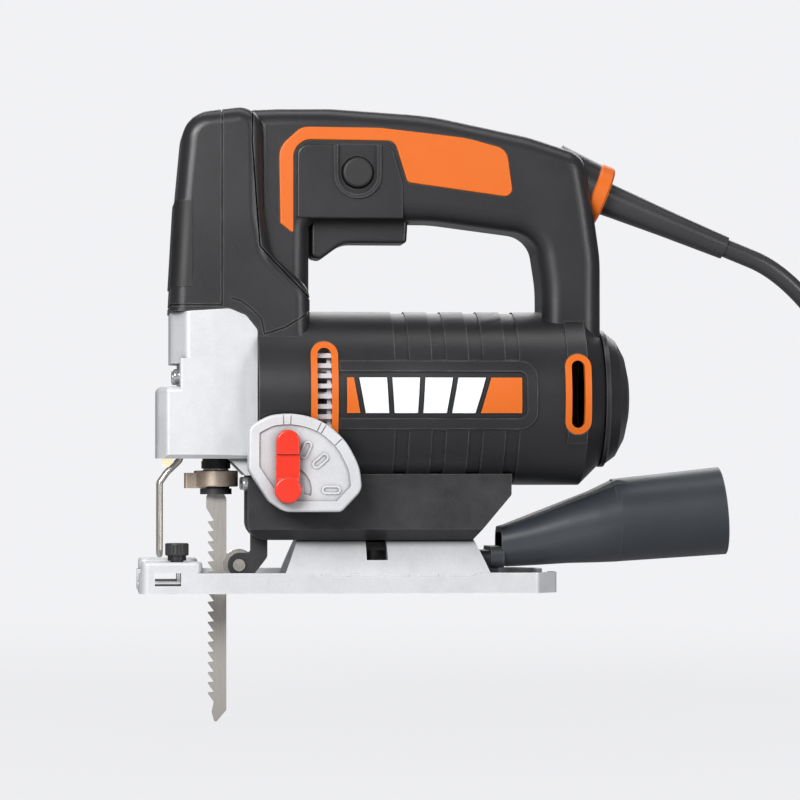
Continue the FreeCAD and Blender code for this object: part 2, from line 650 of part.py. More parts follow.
def switch_module():
    """The mains switch above the trigger, with its plunger's housing."""
    solid = box(42.0, 74.0, -6.0, 6.0, 159.6, 181.0)
    solid = softened(solid, 1.0, lambda e: e.Length > 15)
    return solid.fuse(box(46.0, 70.0, -4.0, 4.0, 158.8, 160.0))


def suppressor():
    return softened(box(80.0, 98.0, -7.0, 7.0, 153.0, 170.0), 1.2, lambda e: True)


# ---------------------------------------------------------------- gear housing and blade drive


def gear_case_outer():
    """The cast case in front of the motor: a narrow upper front, a bulging lower front and flat sides."""
    upper = plan_slab([(-18.6, -17.0, 6), (-12.4, -HEAD_HALF, 3), (BARREL_FRONT, -HEAD_HALF),
                       (BARREL_FRONT, HEAD_HALF), (-12.4, HEAD_HALF, 3), (-18.6, 17.0, 6)], 90.0, 116.0)
    middle = plan_slab([(-15.0, -HEAD_HALF, 1), (BARREL_FRONT, -HEAD_HALF), (BARREL_FRONT, HEAD_HALF),
                        (-15.0, HEAD_HALF, 1)], 70.0, 92.0)
    lower = plan_slab([(-23.8, -19.5, 6), (-20.0, -HEAD_HALF, 2), (BARREL_FRONT, -HEAD_HALF),
                       (BARREL_FRONT, HEAD_HALF), (-20.0, HEAD_HALF, 2), (-23.8, 19.5,
                                                                          6)], GEAR_CASE_BOTTOM, 81.0)
    lower = softened(lower, 2.2, lambda e: e.BoundBox.ZMin > 80.9 and e.BoundBox.XMax < -19)
    solid = fuse_all([upper, middle, lower])
    trim = side_slab(outline([(-60, 40), (-60, 110.2 - FIT), (-19.0, 110.2 - FIT), (4.4, 111.7 - FIT, 4),
                              (11.0, 109.0 - FIT, 4), (BARREL_FRONT - FIT, 103.4 - FIT, 3),
                              (BARREL_FRONT - FIT, 40)]), -60, 60)
    return solid.common(trim)


def gear_case():
    """The case with its bottom edge bevelled, its cavity, the plunger's window and the rear lug to the foot."""
    solid = gear_case_outer()
    for side in (-1, 1):
        solid = solid.cut(section_slab([(side * (HEAD_HALF + 1), GEAR_CASE_BOTTOM - 1),
                                        (side * (HEAD_HALF - 2.6), GEAR_CASE_BOTTOM - 1),
                                        (side * (HEAD_HALF - 1.6), GEAR_CASE_BOTTOM),
                                        (side * (HEAD_HALF + 1), GEAR_CASE_BOTTOM + 2.6)], -40, 40))
    lug = side_slab(outline([(2.0, 60.0), (2.0, GEAR_CASE_BOTTOM), (4.5, GEAR_CASE_BOTTOM, 3),
                             (11.0, 46.0, 1),
                             (BARREL_FRONT - FIT, 46.0), (BARREL_FRONT - FIT, 60.0)]), -20.0, 20.0)
    solid = solid.fuse(lug)
    front = -11.6
    cavity = box(front, BARREL_FRONT + 1, -HEAD_HALF + CASE_WALL, HEAD_HALF - CASE_WALL, 56.0, 120.0)
    cavity = softened(cavity, 3.0, lambda e: e.BoundBox.XMax < front + 0.01 and e.BoundBox.ZLength > 20)
    bosses = []
    for y, z in CASE_SCREWS:
        bosses.append(rod(3.8, V(GEAR_FRONT + 0.5, y, z), V(BARREL_FRONT - FIT, y, z)))
        bosses.append(box(GEAR_FRONT + 0.5, BARREL_FRONT - FIT, *sorted((y, math.copysign(HEAD_HALF - 1, y))),
                          z - 3.8, z + 3.8))
    solid = solid.cut(cavity.cut(fuse_all(bosses)))
    x, r = PLUNGER_WINDOW
    solid = solid.cut(rod(r, V(x + 1.5, 0, 44), V(x + 1.5, 0, 60)))
    # lens seat, guard sockets, and the front screw's recess
    solid = solid.cut(rod(2.5, V(LENS_X, 0, 48), V(LENS_X, 0, 57)))
    for y in (-GUARD_HALF, GUARD_HALF):
        solid = solid.cut(rod(GUARD_R + 0.01, V(GUARD_TOP_X, y, 50), V(GUARD_TOP_X, y, 59.0)))
    for y in (-14.0, 14.0):
        solid = solid.cut(rod(2.0, V(-20, y, 85.0), V(-9, y, 85.0)))
    for y, z in CASE_SCREWS:
        solid = solid.cut(rod(1.8, V(GEAR_FRONT + 1.5, y, z), V(20.0, y, z)))
    # a shallow step where the side face changes angle
    for side in (-1, 1):
        low, high = sorted((side * (HEAD_HALF - 0.35), side * (HEAD_HALF + 1)))
        solid = solid.cut(side_slab(outline([(-1.9, 40), (30, 40), (30, 130), (-1.9, 130)]), low,
                                    high).common(
            plan_slab([(-1.9, side * HEAD_HALF), (BARREL_FRONT + 1, side * (HEAD_HALF - 0.5)),
                       (BARREL_FRONT + 1, side * (HEAD_HALF + 3)), (-1.9, side * (HEAD_HALF + 3))], 30, 140)))
    return solid


def wire_path(points, radius, bend):
    """A round wire through points, its corners rounded by arcs."""
    edges = bent_path(points, bend)
    ring = Part.Wire(Part.makeCircle(radius, points[0], points[1] - points[0]))
    return Part.Wire(edges).makePipeShell([ring], True, False)


def bent_path(points, bend):
    """Straight runs joined by tangent arcs; bend is one radius, or None for arcs as large as the runs allow."""
    edges = []
    here = points[0]
    for i in range(1, len(points) - 1):
        before, after = points[i - 1] - points[i], points[i + 1] - points[i]
        shorter = min(before.Length, after.Length)
        before.normalize()
        after.normalize()
        turn = math.pi - before.getAngle(after)
        radius = bend if bend else 0.45 * shorter / math.tan(turn / 2)
        reach = radius * math.tan(turn / 2)
        start, end = points[i] + before * reach, points[i] + after * reach
        middle = (before + after).normalize()
        tip = points[i] + middle * (radius / math.cos(turn / 2) - radius)
        edges.append(Part.makeLine(here, start))
        edges.append(Part.Arc(start, tip, end).toShape())
        here = end
    edges.append(Part.makeLine(here, points[-1]))
    return edges


def finger_guard():
    y = GUARD_HALF
    points = [V(GUARD_TOP_X, -y, 58.0), V(GUARD_TOP_X, -y, 52.0), V(-19.6, -y, 47.0),
              V(GUARD_FRONT_X, -y, 43.0),
              V(GUARD_FRONT_X, -y, 14.6), V(GUARD_FRONT_X, y, 14.6), V(GUARD_FRONT_X, y, 43.0),
              V(-19.6, y, 47.0), V(GUARD_TOP_X, y, 52.0), V(GUARD_TOP_X, y, 58.0)]
    return wire_path(points, GUARD_R, 2.0)


def led_lens():
    return rod(2.45, V(LENS_X, 0, 51.6), V(LENS_X, 0, 55.9)).fuse(Part.makeSphere(2.45, V(LENS_X, 0, 51.6)))


def case_front_screws():
    """Two pan-head screws in the ledge of the case."""
    screws = []
    for y in (-14.0, 14.0):
        head = rod(2.9, V(-17.4, y, 85.0), V(-15.0, y, 85.0))
        head = softened(head, 0.8, lambda e: abs(e.BoundBox.XMax + 17.4) < 1e-4)
        cross = box(-18, -16.4, y - 1.6, y + 1.6, 84.7, 85.3).fuse(box(-18, -16.4, y - 0.3, y + 0.3, 83.4,
                                                                       86.6))
        screws.append(head.cut(cross).fuse(rod(1.95, V(-15.0, y, 85.0), V(-11.7, y, 85.0))))
    return Part.makeCompound(screws)


def ring_screws():
    """The four long screws that hold the bearing plate to the case."""
    shapes = []
    for y, z in CASE_SCREWS:
        x = BEARING_PLATE_X + BEARING_PLATE_THICK
        shapes.append(rod(1.75, V(GEAR_FRONT + 1.6, y, z),
                          V(x, y, z)).fuse(rod(3.0, V(x, y, z), V(x + 2.4, y, z))))
    return Part.makeCompound(shapes)


def bearing_plate():
    """The plate between gears and motor: it holds the front bearing and the gear's axle."""
    x = BEARING_PLATE_X
    r = BARREL_R - WALL - FIT
    disc = motor_rod(r, x, x + BEARING_PLATE_THICK).common(box(0, 60, -23.5, 23.5, 47.0, 104.0))
    cup = motor_rod(FRONT_BEARING_R + 2.4, x, x + BEARING_WIDTH + 0.5)
    axle_boss = rod(5.5, V(x - 1.3, 0, GEAR_Z), V(x + 4, 0, GEAR_Z))
    plate = fuse_all([disc, cup, axle_boss])
    plate = plate.cut(motor_rod(FRONT_BEARING_R, x + 0.5, x + 20)).cut(motor_rod(7.0, x - 5, x + 5))
    plate = plate.cut(rod(3.0, V(0, 0, GEAR_Z), V(x + 2, 0, GEAR_Z)))
    for y, z in CASE_SCREWS:
        plate = plate.cut(rod(1.8, V(x - 1, y, z), V(x + 9, y, z)))
    return plate


def gear_axle():
    x = BEARING_PLATE_X
    return rod(3.0, V(GEAR_FRONT + 1.0, 0, GEAR_Z), V(x + 2, 0, GEAR_Z))


def toothed(module, teeth, width, backlash, start, phase):
    """A spur gear about an axis along X through start, teeth as trapezoids, first tooth at the phase angle."""
    pitch_r = module * teeth / 2
    root, tip = pitch_r - 1.3 * module, pitch_r + 0.8 * module
    half_pitch = math.pi * module / 4 - backlash / 2
    points = []
    for i in range(teeth):
        middle = phase + 2 * math.pi * i / teeth
        for r, half in ((root, half_pitch + 0.30 * module), (tip, half_pitch - 0.28 * module)):
            points.append((r, middle - half / r))
        for r, half in ((tip, half_pitch - 0.28 * module), (root, half_pitch + 0.30 * module)):
            points.append((r, middle + half / r))
    wire = Part.makePolygon([start + V(0, r * math.sin(t), r * math.cos(t)) for r, t in points + points[:1]])
    return swept(wire, V(0, 0, 0), V(width, 0, 0))


def drive_gear():
    """The reduction gear: an involute-pitch ring with a web, a hub and the seat of the crank pin."""
    start = V(GEAR_FRONT, 0, GEAR_Z)
    gear = toothed(GEAR_MODULE, GEAR_TEETH, GEAR_WIDTH, GEAR_BACKLASH, start, 0.0)
    web = tube(17.5, 7.5, V(GEAR_FRONT + 2.6, 0, GEAR_Z), V(GEAR_FRONT + 9, 0, GEAR_Z))
    gear = gear.cut(web)
    gear = gear.fuse(rod(6.5, V(GEAR_FRONT + 1, 0, GEAR_Z), V(BEARING_PLATE_X - 1.3 - RUN, 0, GEAR_Z)))
    return gear.cut(rod(3.0 + SHAFT_FIT, V(GEAR_FRONT + 0.6, 0, GEAR_Z), V(30, 0, GEAR_Z))).cut(
        rod(2.0, V(GEAR_FRONT - 1, 0, GEAR_Z + STROKE / 2), V(GEAR_FRONT + 1.8, 0, GEAR_Z + STROKE / 2)))


def crank_pin():
    z = GEAR_Z + STROKE / 2
    return rod(CRANK_PIN_R, V(PLUNGER_R + 0.3, 0, z), V(GEAR_FRONT, 0, z)).fuse(
        rod(2.0, V(GEAR_FRONT - 0.1, 0, z), V(GEAR_FRONT + 1.8, 0, z)))


def swing_guide():
    """The frame round the yoke that carries both plunger bushes and hangs on the swing pin."""
    y0, y1 = GUIDE_INNER_Y, GUIDE_INNER_Y + GUIDE_THICK
    x = GUIDE_HALF_X
    sides = [box(-x + 2, x - 2, s * y0 if s > 0 else -y1, y1 if s > 0 else -y0, LOWER_BUSH_Z, SWING_Z + 6)
             for s in (-1, 1)]
    blocks = [box(-x, x - 1.2, -y1, y1, z, z + BUSH_LENGTH) for z in (LOWER_BUSH_Z, UPPER_BUSH_Z)]
    frame = fuse_all(sides + blocks)
    frame = softened(frame, 2.5,
                     lambda e: abs(e.BoundBox.YLength - GUIDE_THICK) < 0.01 and e.BoundBox.ZMin > SWING_Z + 5)
    for z in (LOWER_BUSH_Z, UPPER_BUSH_Z):
        frame = frame.cut(rod(PLUNGER_R + 1.5, V(0, 0, z - 1), V(0, 0, z + BUSH_LENGTH + 1)))
    return frame.cut(rod(2.5 + SHAFT_FIT, V(0, -40, SWING_Z), V(0, 40, SWING_Z)))


def plunger_bushes():
    return Part.makeCompound([tube(PLUNGER_R + 1.5, PLUNGER_R + SHAFT_FIT, V(0, 0, z),
                                   V(0, 0, z + BUSH_LENGTH))
                              for z in (LOWER_BUSH_Z, UPPER_BUSH_Z)])


def swing_pin():
    return rod(2.5, V(0, -HEAD_HALF + WALL, SWING_Z), V(0, HEAD_HALF - WALL, SWING_Z))


def plunger():
    """The reciprocating rod with its scotch yoke behind."""
    z = GEAR_Z + STROKE / 2
    stem = rod(PLUNGER_R, V(0, 0, CLAMP_TOP + 0.2), V(0, 0, PLUNGER_TOP))
    yoke = softened(box(-4.0, PLUNGER_R, -17.0, 17.0, z - 8.2, z + 8.2), 1.5,
                    lambda e: e.BoundBox.XLength > 8)
    slot = box(-0.5, PLUNGER_R + 1, -13.6, 13.6, z - CRANK_PIN_R - 0.3, z + CRANK_PIN_R + 0.3)
    slot = softened(slot, 3.0, lambda e: e.BoundBox.XLength > 5)
    stub = rod(HUB_R - 1.6, V(0, 0, CLAMP_TOP - 2), V(0, 0, CLAMP_TOP + 0.3))
    return fuse_all([stem, yoke]).cut(slot).fuse(stub)


def plunger_seal():
    ring = tube(5.8, PLUNGER_R, V(0, 0, 48.6), V(0, 0, 51.6))
    return ring.fuse(tube(5.6, PLUNGER_R, V(0, 0, 51.6), V(0, 0, 53.2)).common(rod(5.4, V(0, 0, 50),
                                                                                   V(0, 0, 55))))


def clamp_hub():
    """The fixed core of the blade holder, slotted for the blade's tang."""
    hub = rod(HUB_R, V(0, 0, HUB_BOTTOM), V(0, 0, CLAMP_TOP + 0.2))
    flange = rod(HUB_R + 0.9, V(0, 0, HUB_BOTTOM), V(0, 0, CLAMP_BOTTOM - 0.7))
    hub = hub.fuse(flange)
    hub = hub.cut(rod(HUB_R - 1.6, V(0, 0, CLAMP_TOP - 2), V(0, 0, CLAMP_TOP + 1)))
    return hub.cut(box(-3.4, 3.4, -BLADE_THICK / 2, BLADE_THICK / 2, HUB_BOTTOM - 1, CLAMP_TOP - 2.5))


def clamp_ring():
    """The quick-release ring: a grooved disc with a thumb lever that turns to free the blade."""
    ring = rod(CLAMP_R, V(0, 0, CLAMP_BOTTOM), V(0, 0, CLAMP_TOP))
    ring = softened(ring, 0.5, lambda e: e.Length > 6 * CLAMP_R)
    lever = box(-12.6, -4.0, -4.0, 3.0, CLAMP_BOTTOM - 0.6, CLAMP_TOP - 0.9)
    lever = softened(lever, 1.0, lambda e: e.BoundBox.ZLength > 5 and e.BoundBox.XMax < -12)
    ring = ring.fuse(lever)
    return ring.cut(rod(HUB_R + SHAFT_FIT, V(0, 0, 30), V(0, 0, 60)))


def blade():
    """A coarse wood blade: T tang, shoulders, upward teeth along the front edge and a slanted tip."""
    half = BLADE_THICK / 2
    shank = 3.3
    points = [(-shank, CLAMP_TOP - 2.6), (-shank, BLADE_SHOULDER + 1.0), (BLADE_FRONT, BLADE_SHOULDER),
              (BLADE_FRONT, 33.0), (-0.8, FIRST_TOOTH_Z + 0.3)]
    gullet = -0.8
    tip = gullet - TOOTH_DEPTH
    for tooth in range(TOOTH_COUNT):
        z = FIRST_TOOTH_Z - tooth * TOOTH_PITCH
        points += [(tip, z), (tip + 0.1, z - 0.5), (gullet, z - TOOTH_PITCH * 0.93)]
    points += [(-1.6, BLADE_TIP + 3.6), (-0.6, BLADE_TIP), (0.4, BLADE_TIP), (BLADE_BACK, -47.4),
               (BLADE_BACK, BLADE_SHOULDER - 0.6), (shank, BLADE_SHOULDER + 1.0), (shank, CLAMP_TOP - 2.6)]
    wire = Part.makePolygon([V(x, 0, z) for x, z in points + points[:1]])
    return side_slab(wire, -half, half)


def guide_roller():
    """The grooved roller that runs on the blade's back."""
    mid = BLADE_THICK / 2 + 0.35
    deep = ROLLER_R - (ROLLER_X - BLADE_BACK - 0.3)
    g = ROLLER_R - deep
    profile = [(-ROLLER_HALF, 2.0 + SHAFT_FIT), (-ROLLER_HALF, ROLLER_R - 0.4),
               (-ROLLER_HALF + 0.4, ROLLER_R),
               (-mid - 0.5, ROLLER_R), (-mid, g), (mid, g), (mid + 0.5, ROLLER_R), (ROLLER_HALF - 0.4,
                                                                                    ROLLER_R),
               (ROLLER_HALF, ROLLER_R - 0.4), (ROLLER_HALF, 2.0 + SHAFT_FIT)]
    points = [V(r, y, 0) for y, r in profile]
    solid = Part.Face(Part.makePolygon(points + points[:1])).revolve(V(0, 0, 0), Y_AXIS, 360)
    solid.translate(V(ROLLER_X, 0, ROLLER_Z))
    return solid


def roller_arm():
    """The fork that hangs behind the blade, its tail resting near the orbit cam."""
    wire = outline([(13.9, 39.5, 3), (13.9, 15.2, 1), (4.6, 15.2, 4.5), (4.6, 5.6, 4.5), (14.2, 5.6, 3.4),
                    (20.3, 13.5, 3), (20.3, 33.0), (22.4, 35.0, 1), (22.4, 40.0, 2)])
    solid = side_slab(wire, -ARM_INNER - ARM_THICK, ARM_INNER + ARM_THICK)
    solid = solid.cut(box(0, 30, -ARM_INNER, ARM_INNER, 0, 24.0))
    solid = solid.cut(rod(2.0 + SHAFT_FIT, V(ARM_PIVOT_X, -20, ARM_PIVOT_Z), V(ARM_PIVOT_X, 20, ARM_PIVOT_Z)))
    return solid.cut(rod(2.0, V(ROLLER_X, -20, ROLLER_Z), V(ROLLER_X, 20, ROLLER_Z)))


def roller_pin():
    half = ARM_INNER + ARM_THICK
    pin = rod(2.0, V(ROLLER_X, -half, ROLLER_Z), V(ROLLER_X, half, ROLLER_Z))
    head = rod(PIN_HEAD_R, V(ROLLER_X, -half - 0.8, ROLLER_Z), V(ROLLER_X, -half, ROLLER_Z))
    return pin.fuse(head)


def arm_pivot():
    return rod(2.0, V(ARM_PIVOT_X, -12.0, ARM_PIVOT_Z), V(ARM_PIVOT_X, 12.0, ARM_PIVOT_Z))


# ---------------------------------------------------------------- orbit selector


def on_clock(shape, angle):
    """The shape, drawn straight up from the origin, turned clockwise about the lever's hub."""
    shape.rotate(V(0, 0, 0), Y_AXIS, angle)
    shape.translate(V(LEVER_X, 0, LEVER_Z))
    return shape


def pill(width, length, depth, lift):
    """A long round-ended mark that points at the hub."""
    half = width / 2
    low, high = MARK_RING_R - length / 2, MARK_RING_R + length / 2
    wire = outline([(-half, low, half - 0.01), (half, low, half - 0.01),
                    (half, high, half - 0.01), (-half, high, half - 0.01)])
    return side_slab(wire, -SELECTOR_FACE - lift, -SELECTOR_FACE + depth)


def gate():
    """The sunk arc beside the hub that shows how far the lever turns."""
    ring = tube_on_y(GATE_OUTER_R, GATE_INNER_R, -SELECTOR_FACE + 0.2, -SELECTOR_FACE + 1.8)
    reach = GATE_OUTER_R * 2
    corners = [(0, 0)] + [(reach * math.sin(math.radians(a)), reach * math.cos(math.radians(a)))
                          for a in (0, GATE_ANGLE / 3, 2 * GATE_ANGLE / 3, GATE_ANGLE)]
    sector = side_slab(outline(corners), -SELECTOR_FACE - 1, -SELECTOR_FACE + 3)
    return on_clock(ring.common(sector), 0)


def tube_on_y(outer_r, inner_r, y0, y1):
    return rod(outer_r, V(0, y0, 0), V(0, y1, 0)).cut(rod(inner_r, V(0, y0 - 1, 0), V(0, y1 + 1, 0)))


def selector_plate():
    """The cast plate under the orbit lever: a raised rim, a sunk face with position marks, walls behind."""
    outer = outline(SELECTOR_CORNERS)
    solid = side_slab(outer, -SELECTOR_FACE, -SELECTOR_BACK)
    solid = softened(solid, 1.0, edge_on_y(-SELECTOR_FACE))
    solid = solid.cut(side_slab(grown(outer, -SELECTOR_RIM), -SELECTOR_FACE - 1, -SELECTOR_FACE + 1.0))
    solid = solid.cut(side_slab(grown(outer, -SELECTOR_WALL), -SELECTOR_FACE + 4.0, -SELECTOR_BACK + 1))
    marks = []
    for angle in MARK_ANGLES:
        ring = pill(MARK_WIDTH, MARK_LENGTH, 1.1, -0.4).cut(
            pill(MARK_WIDTH - 2 * MARK_WALL, MARK_LENGTH - 2 * MARK_WALL, 3.0, 1.0))
        marks.append(on_clock(ring, angle))
    solid = fuse_all([solid] + marks)
    for angle in TICK_ANGLES:
        tick = box(-TICK_WIDTH / 2, TICK_WIDTH / 2, -SELECTOR_FACE - 1, -SELECTOR_FACE + TICK_DEPTH,
                   TICK_REACH[0], TICK_REACH[1])
        solid = solid.cut(on_clock(tick, angle))
    solid = solid.cut(gate())
    boss = rod(6.2, V(LEVER_X, -SELECTOR_FACE + 2, LEVER_Z), V(LEVER_X, -FOOT_HALF - FIT, LEVER_Z))
    solid = solid.fuse(boss)
    solid = solid.cut(motor_rod(BARREL_R + VENT_PROUD + FIT, 0, 100))
    solid = solid.cut(box(0, BARREL_FRONT - FIT, -HEAD_HALF - 0.1, 0, 0, 200))
    return solid.cut(rod(CAM_R + SHAFT_FIT, V(LEVER_X, -60, LEVER_Z), V(LEVER_X, 0, LEVER_Z)))


def orbit_lever():
    """The red lever: a round hub, an arm with a stepped face and a round tip."""
    face = -SELECTOR_FACE - RUN
    half = LEVER_WIDTH / 2
    arm = side_slab(outline([(LEVER_X - half, LEVER_Z, 0), (LEVER_X + half, LEVER_Z, 0),
                             (LEVER_X + half, LEVER_Z + LEVER_LENGTH, half - 0.02),
                             (LEVER_X - half, LEVER_Z + LEVER_LENGTH, half - 0.02)]), face - 6.0, face)
    arm = softened(arm, 0.8, lambda e: edge_on_y(face - 6.0)(e) and e.BoundBox.ZMax > LEVER_Z + 1)
    hub = rod(LEVER_HUB_R, V(LEVER_X, face - 6.8, LEVER_Z), V(LEVER_X, face, LEVER_Z))
    hub = softened(hub, 0.8, edge_on_y(face - 6.8))
    sunk = box(LEVER_X - 20, LEVER_X + 20, face - 8.0, face - 4.6, LEVER_Z + 4.6, LEVER_Z + LEVER_STEP)
    lever = arm.cut(sunk).fuse(hub)
    return lever.cut(rod(2.4, V(LEVER_X, face - 5.0, LEVER_Z), V(LEVER_X, 0, LEVER_Z)))


def cam_shaft():
    """The lever's shaft, with the flat that the roller arm's tail follows."""
    face = -SELECTOR_FACE - RUN
    shaft = rod(CAM_R, V(LEVER_X, face, LEVER_Z), V(LEVER_X, -8.0, LEVER_Z)).fuse(
        rod(2.4, V(LEVER_X, face - 4.8, LEVER_Z), V(LEVER_X, face, LEVER_Z)))
    cam = rod(CAM_R, V(LEVER_X, -8.0, LEVER_Z), V(LEVER_X, 8.0, LEVER_Z)).cut(
        box(LEVER_X - 5, LEVER_X - 1.6, -9, 9, LEVER_Z - 5, LEVER_Z + 5))
    return shaft.fuse(cam)


# ---------------------------------------------------------------- foot, saddle and base
def foot():
    """The block under the motor that the bevel saddle turns on."""
    wire = outline([(FOOT_FRONT, 56.0), (FOOT_FRONT, FOOT_BOTTOM, 7), (101.5, FOOT_BOTTOM),
                    (FOOT_REAR, 38.2, 2), (FOOT_REAR, 56.0)])
    solid = side_slab(wire, -FOOT_HALF, FOOT_HALF)
    for side in (-1, 1):
        solid = solid.cut(section_slab([(side * 13.6, 18.0), (side * 13.6, FOOT_BOTTOM),
                                        (side * FOOT_HALF, FOOT_BOTTOM + 4.2), (side * 30,
                                                                                30.0), (side * 30, 18.0)],
                                       0, 130))
    solid = solid.cut(motor_rod(BARREL_R + FIT, BARREL_FRONT, 130))
    solid = solid.cut(box(0, BARREL_FRONT, -30, 30, 46.0 - FIT, 80))
    solid = solid.cut(rod(SADDLE_R + 0.3, V(FOOT_FRONT + 12.0, 0, 0), V(130, 0, 0)))
    # the roller arm's well, the cam's bore, the pivot and the bolt
    well = side_slab(outline([(5, 15), (25.0, 15), (25.0, 40.0), (22.8, 43.6), (5, 43.6)]), -6.2, 6.2)
    solid = solid.cut(well)
    solid = solid.cut(rod(CAM_R + RUN, V(LEVER_X, -40, LEVER_Z), V(LEVER_X, 8.6, LEVER_Z)))
    solid = solid.cut(rod(2.0, V(ARM_PIVOT_X, -12.0, ARM_PIVOT_Z), V(ARM_PIVOT_X, 12.0, ARM_PIVOT_Z)))
    solid = solid.cut(rod(BOLT_R, V(BOLT_X, 0, 18), V(BOLT_X, 0, 36)))
    for y in (-FOOT_SCREW_Y, FOOT_SCREW_Y):
        solid = solid.cut(rod(1.75, V(5, y, FOOT_SCREW_Z), V(22, y, FOOT_SCREW_Z)))
    # lightening pockets from above, closed by the barrel
    for x0, x1 in ((32.0, 54.0), (72.0, 97.0)):
        solid = solid.cut(box(x0, x1, -FOOT_HALF + 3, FOOT_HALF - 3, 27.0, 60.0))
    return solid


def foot_screws():
    screws = []
    for y in (-FOOT_SCREW_Y, FOOT_SCREW_Y):
        head = rod(2.6, V(FOOT_FRONT - 2.0, y, FOOT_SCREW_Z), V(FOOT_FRONT, y, FOOT_SCREW_Z))
        head = softened(head, 0.7, lambda e: abs(e.BoundBox.XMax - FOOT_FRONT + 2.0) < 1e-4)
        screws.append(head.fuse(rod(1.75, V(FOOT_FRONT, y, FOOT_SCREW_Z), V(22, y, FOOT_SCREW_Z))))
    return Part.makeCompound(screws)


def base_plate():
    """The cast shoe: a flat plate with upturned side rims, two front blocks for the fence and the blade's slot."""
    h = PLATE_HALF
    plate = plan_slab([(PLATE_FRONT, -h, 5), (PLATE_REAR, -h), (PLATE_REAR, h), (PLATE_FRONT, h, 5)], 0,
                      PLATE_THICK)
    chamfer = 8.5
    shape = [(PLATE_FRONT, -h, 5), (PLATE_REAR - chamfer, -h, 3), (PLATE_REAR, -h + chamfer, 3),
             (PLATE_REAR, h - chamfer, 3), (PLATE_REAR - chamfer, h, 3), (PLATE_FRONT, h, 5)]
    plate = plan_slab(shape, 0, PLATE_THICK)
    rim = plan_slab(shape, 0, RIM_HEIGHT)
    rim = rim.cut(swept(grown(outline(shape, on_plan), -RIM_THICK), V(0, 0, -1), V(0, 0, 30)))
    rim = rim.cut(box(PLATE_FRONT - 1, FENCE_SLOT_REAR, -BLOCK_INNER, BLOCK_INNER, PLATE_THICK, 30))
    rim = rim.cut(box(PLATE_REAR - 3, PLATE_REAR + 1, -18, 18, PLATE_THICK + 1, 30))
    shapes = [plate, rim]
    for side in (-1, 1):
        y0, y1 = sorted((side * BLOCK_INNER, side * (h - 0.01)))
        block = plan_slab([(BLOCK_FRONT, y0, 3), (BLOCK_REAR, y0, 3), (BLOCK_REAR, y1, 3),
                           (BLOCK_FRONT, y1, 3)],
                          0, BLOCK_TOP)
        block = softened(block, 1.2, edge_on_z(BLOCK_TOP))
        shapes.append(block)
        # two stiffening ribs run beside the saddle
        shapes.append(box(SLOT_REAR + 2, PLATE_REAR - 12, side * 30 - 0.8, side * 30 + 0.8, 1,
                          PLATE_THICK + 1.2))
    solid = fuse_all(shapes)
    solid = solid.cut(plan_slab([(SLOT_FRONT, -SLOT_HALF, 4), (SLOT_REAR, -SLOT_HALF, 2),
                                 (SLOT_REAR, SLOT_HALF, 2),
                                 (SLOT_FRONT, SLOT_HALF, 4)], -1, 20))
    # a sight notch in the front edge, and the opening under the saddle
    solid = solid.cut(plan_slab([(PLATE_FRONT - 2, -5.0), (PLATE_FRONT + 9.0, -2.4, 2),
                                 (PLATE_FRONT + 9.0, 2.4, 2),
                                 (PLATE_FRONT - 2, 5.0)], -1, 20))
    solid = solid.cut(plan_slab([(SADDLE_FRONT_TOP + 6, -9, 4), (SADDLE_REAR_TOP - 6, -9, 4),
                                 (SADDLE_REAR_TOP - 6, 9, 4), (SADDLE_FRONT_TOP + 6, 9, 4)], -1, 20))
    # fence slot through both blocks, and the clamp screw's thread
    solid = solid.cut(box(FENCE_SLOT_FRONT, FENCE_SLOT_REAR, -60, 60, FENCE_SLOT_LOW + 1.5, FENCE_SLOT_HIGH))
    solid = solid.cut(rod(2.6, V(FENCE_SCREW_X, FENCE_SCREW_Y, 5), V(FENCE_SCREW_X, FENCE_SCREW_Y, 20)))
    # the rim's scalloped top with its row of scale blocks
    for side in (-1, 1):
        y0, y1 = sorted((side * (h - RIM_THICK - 1), side * (h + 1)))
        scoop = side_slab(outline([(RECESS_FRONT, RIM_HEIGHT + 2),
                                   (RECESS_FRONT + 5, RIM_HEIGHT - RECESS_DEPTH, 4),
                                   (RECESS_REAR - 5, RIM_HEIGHT - RECESS_DEPTH, 4), (RECESS_REAR,
                                                                                     RIM_HEIGHT + 2)]),
                          y0, y1)
        for i in range(SCALE_BLOCKS):
            x = SCALE_FIRST + i * SCALE_PITCH
            scoop = scoop.cut(box(x - 2.0, x + 2.0, y0, y1, 0, RIM_HEIGHT - 0.3))
        solid = solid.cut(scoop)
    return solid


def fence_liner():
    """Dark wear pads that line the lower half of the fence slot in both blocks."""
    pads = []
    for side in (-1, 1):
        y0, y1 = sorted((side * (BLOCK_INNER + 0.5), side * (PLATE_HALF - 0.6)))
        pads.append(box(FENCE_SLOT_FRONT + 0.01, FENCE_SLOT_REAR - 0.01, y0, y1, FENCE_SLOT_LOW + 1.5,
                        FENCE_SLOT_LOW + 2.0))
    return Part.makeCompound(pads)


def fence_screw():
    """The knurled clamp screw over the fence slot."""
    x, y = FENCE_SCREW_X, FENCE_SCREW_Y
    head = rod(4.6, V(x, y, 14.8), V(x, y, 19.7))
    head = softened(head, 0.6, lambda e: e.Length > 20)
    for i in range(20):
        t = 2 * math.pi * i / 20
        head = head.cut(rod(0.35, V(x + 4.6 * math.cos(t), y + 4.6 * math.sin(t), 14), V(
            x + 4.6 * math.cos(t), y + 4.6 * math.sin(t), 18.9)))
    neck = rod(3.6, V(x, y, 12.9), V(x, y, 14.8))
    return fuse_all([head, neck, rod(2.5, V(x, y, FENCE_SLOT_HIGH + 0.4), V(x, y, 13.5))])


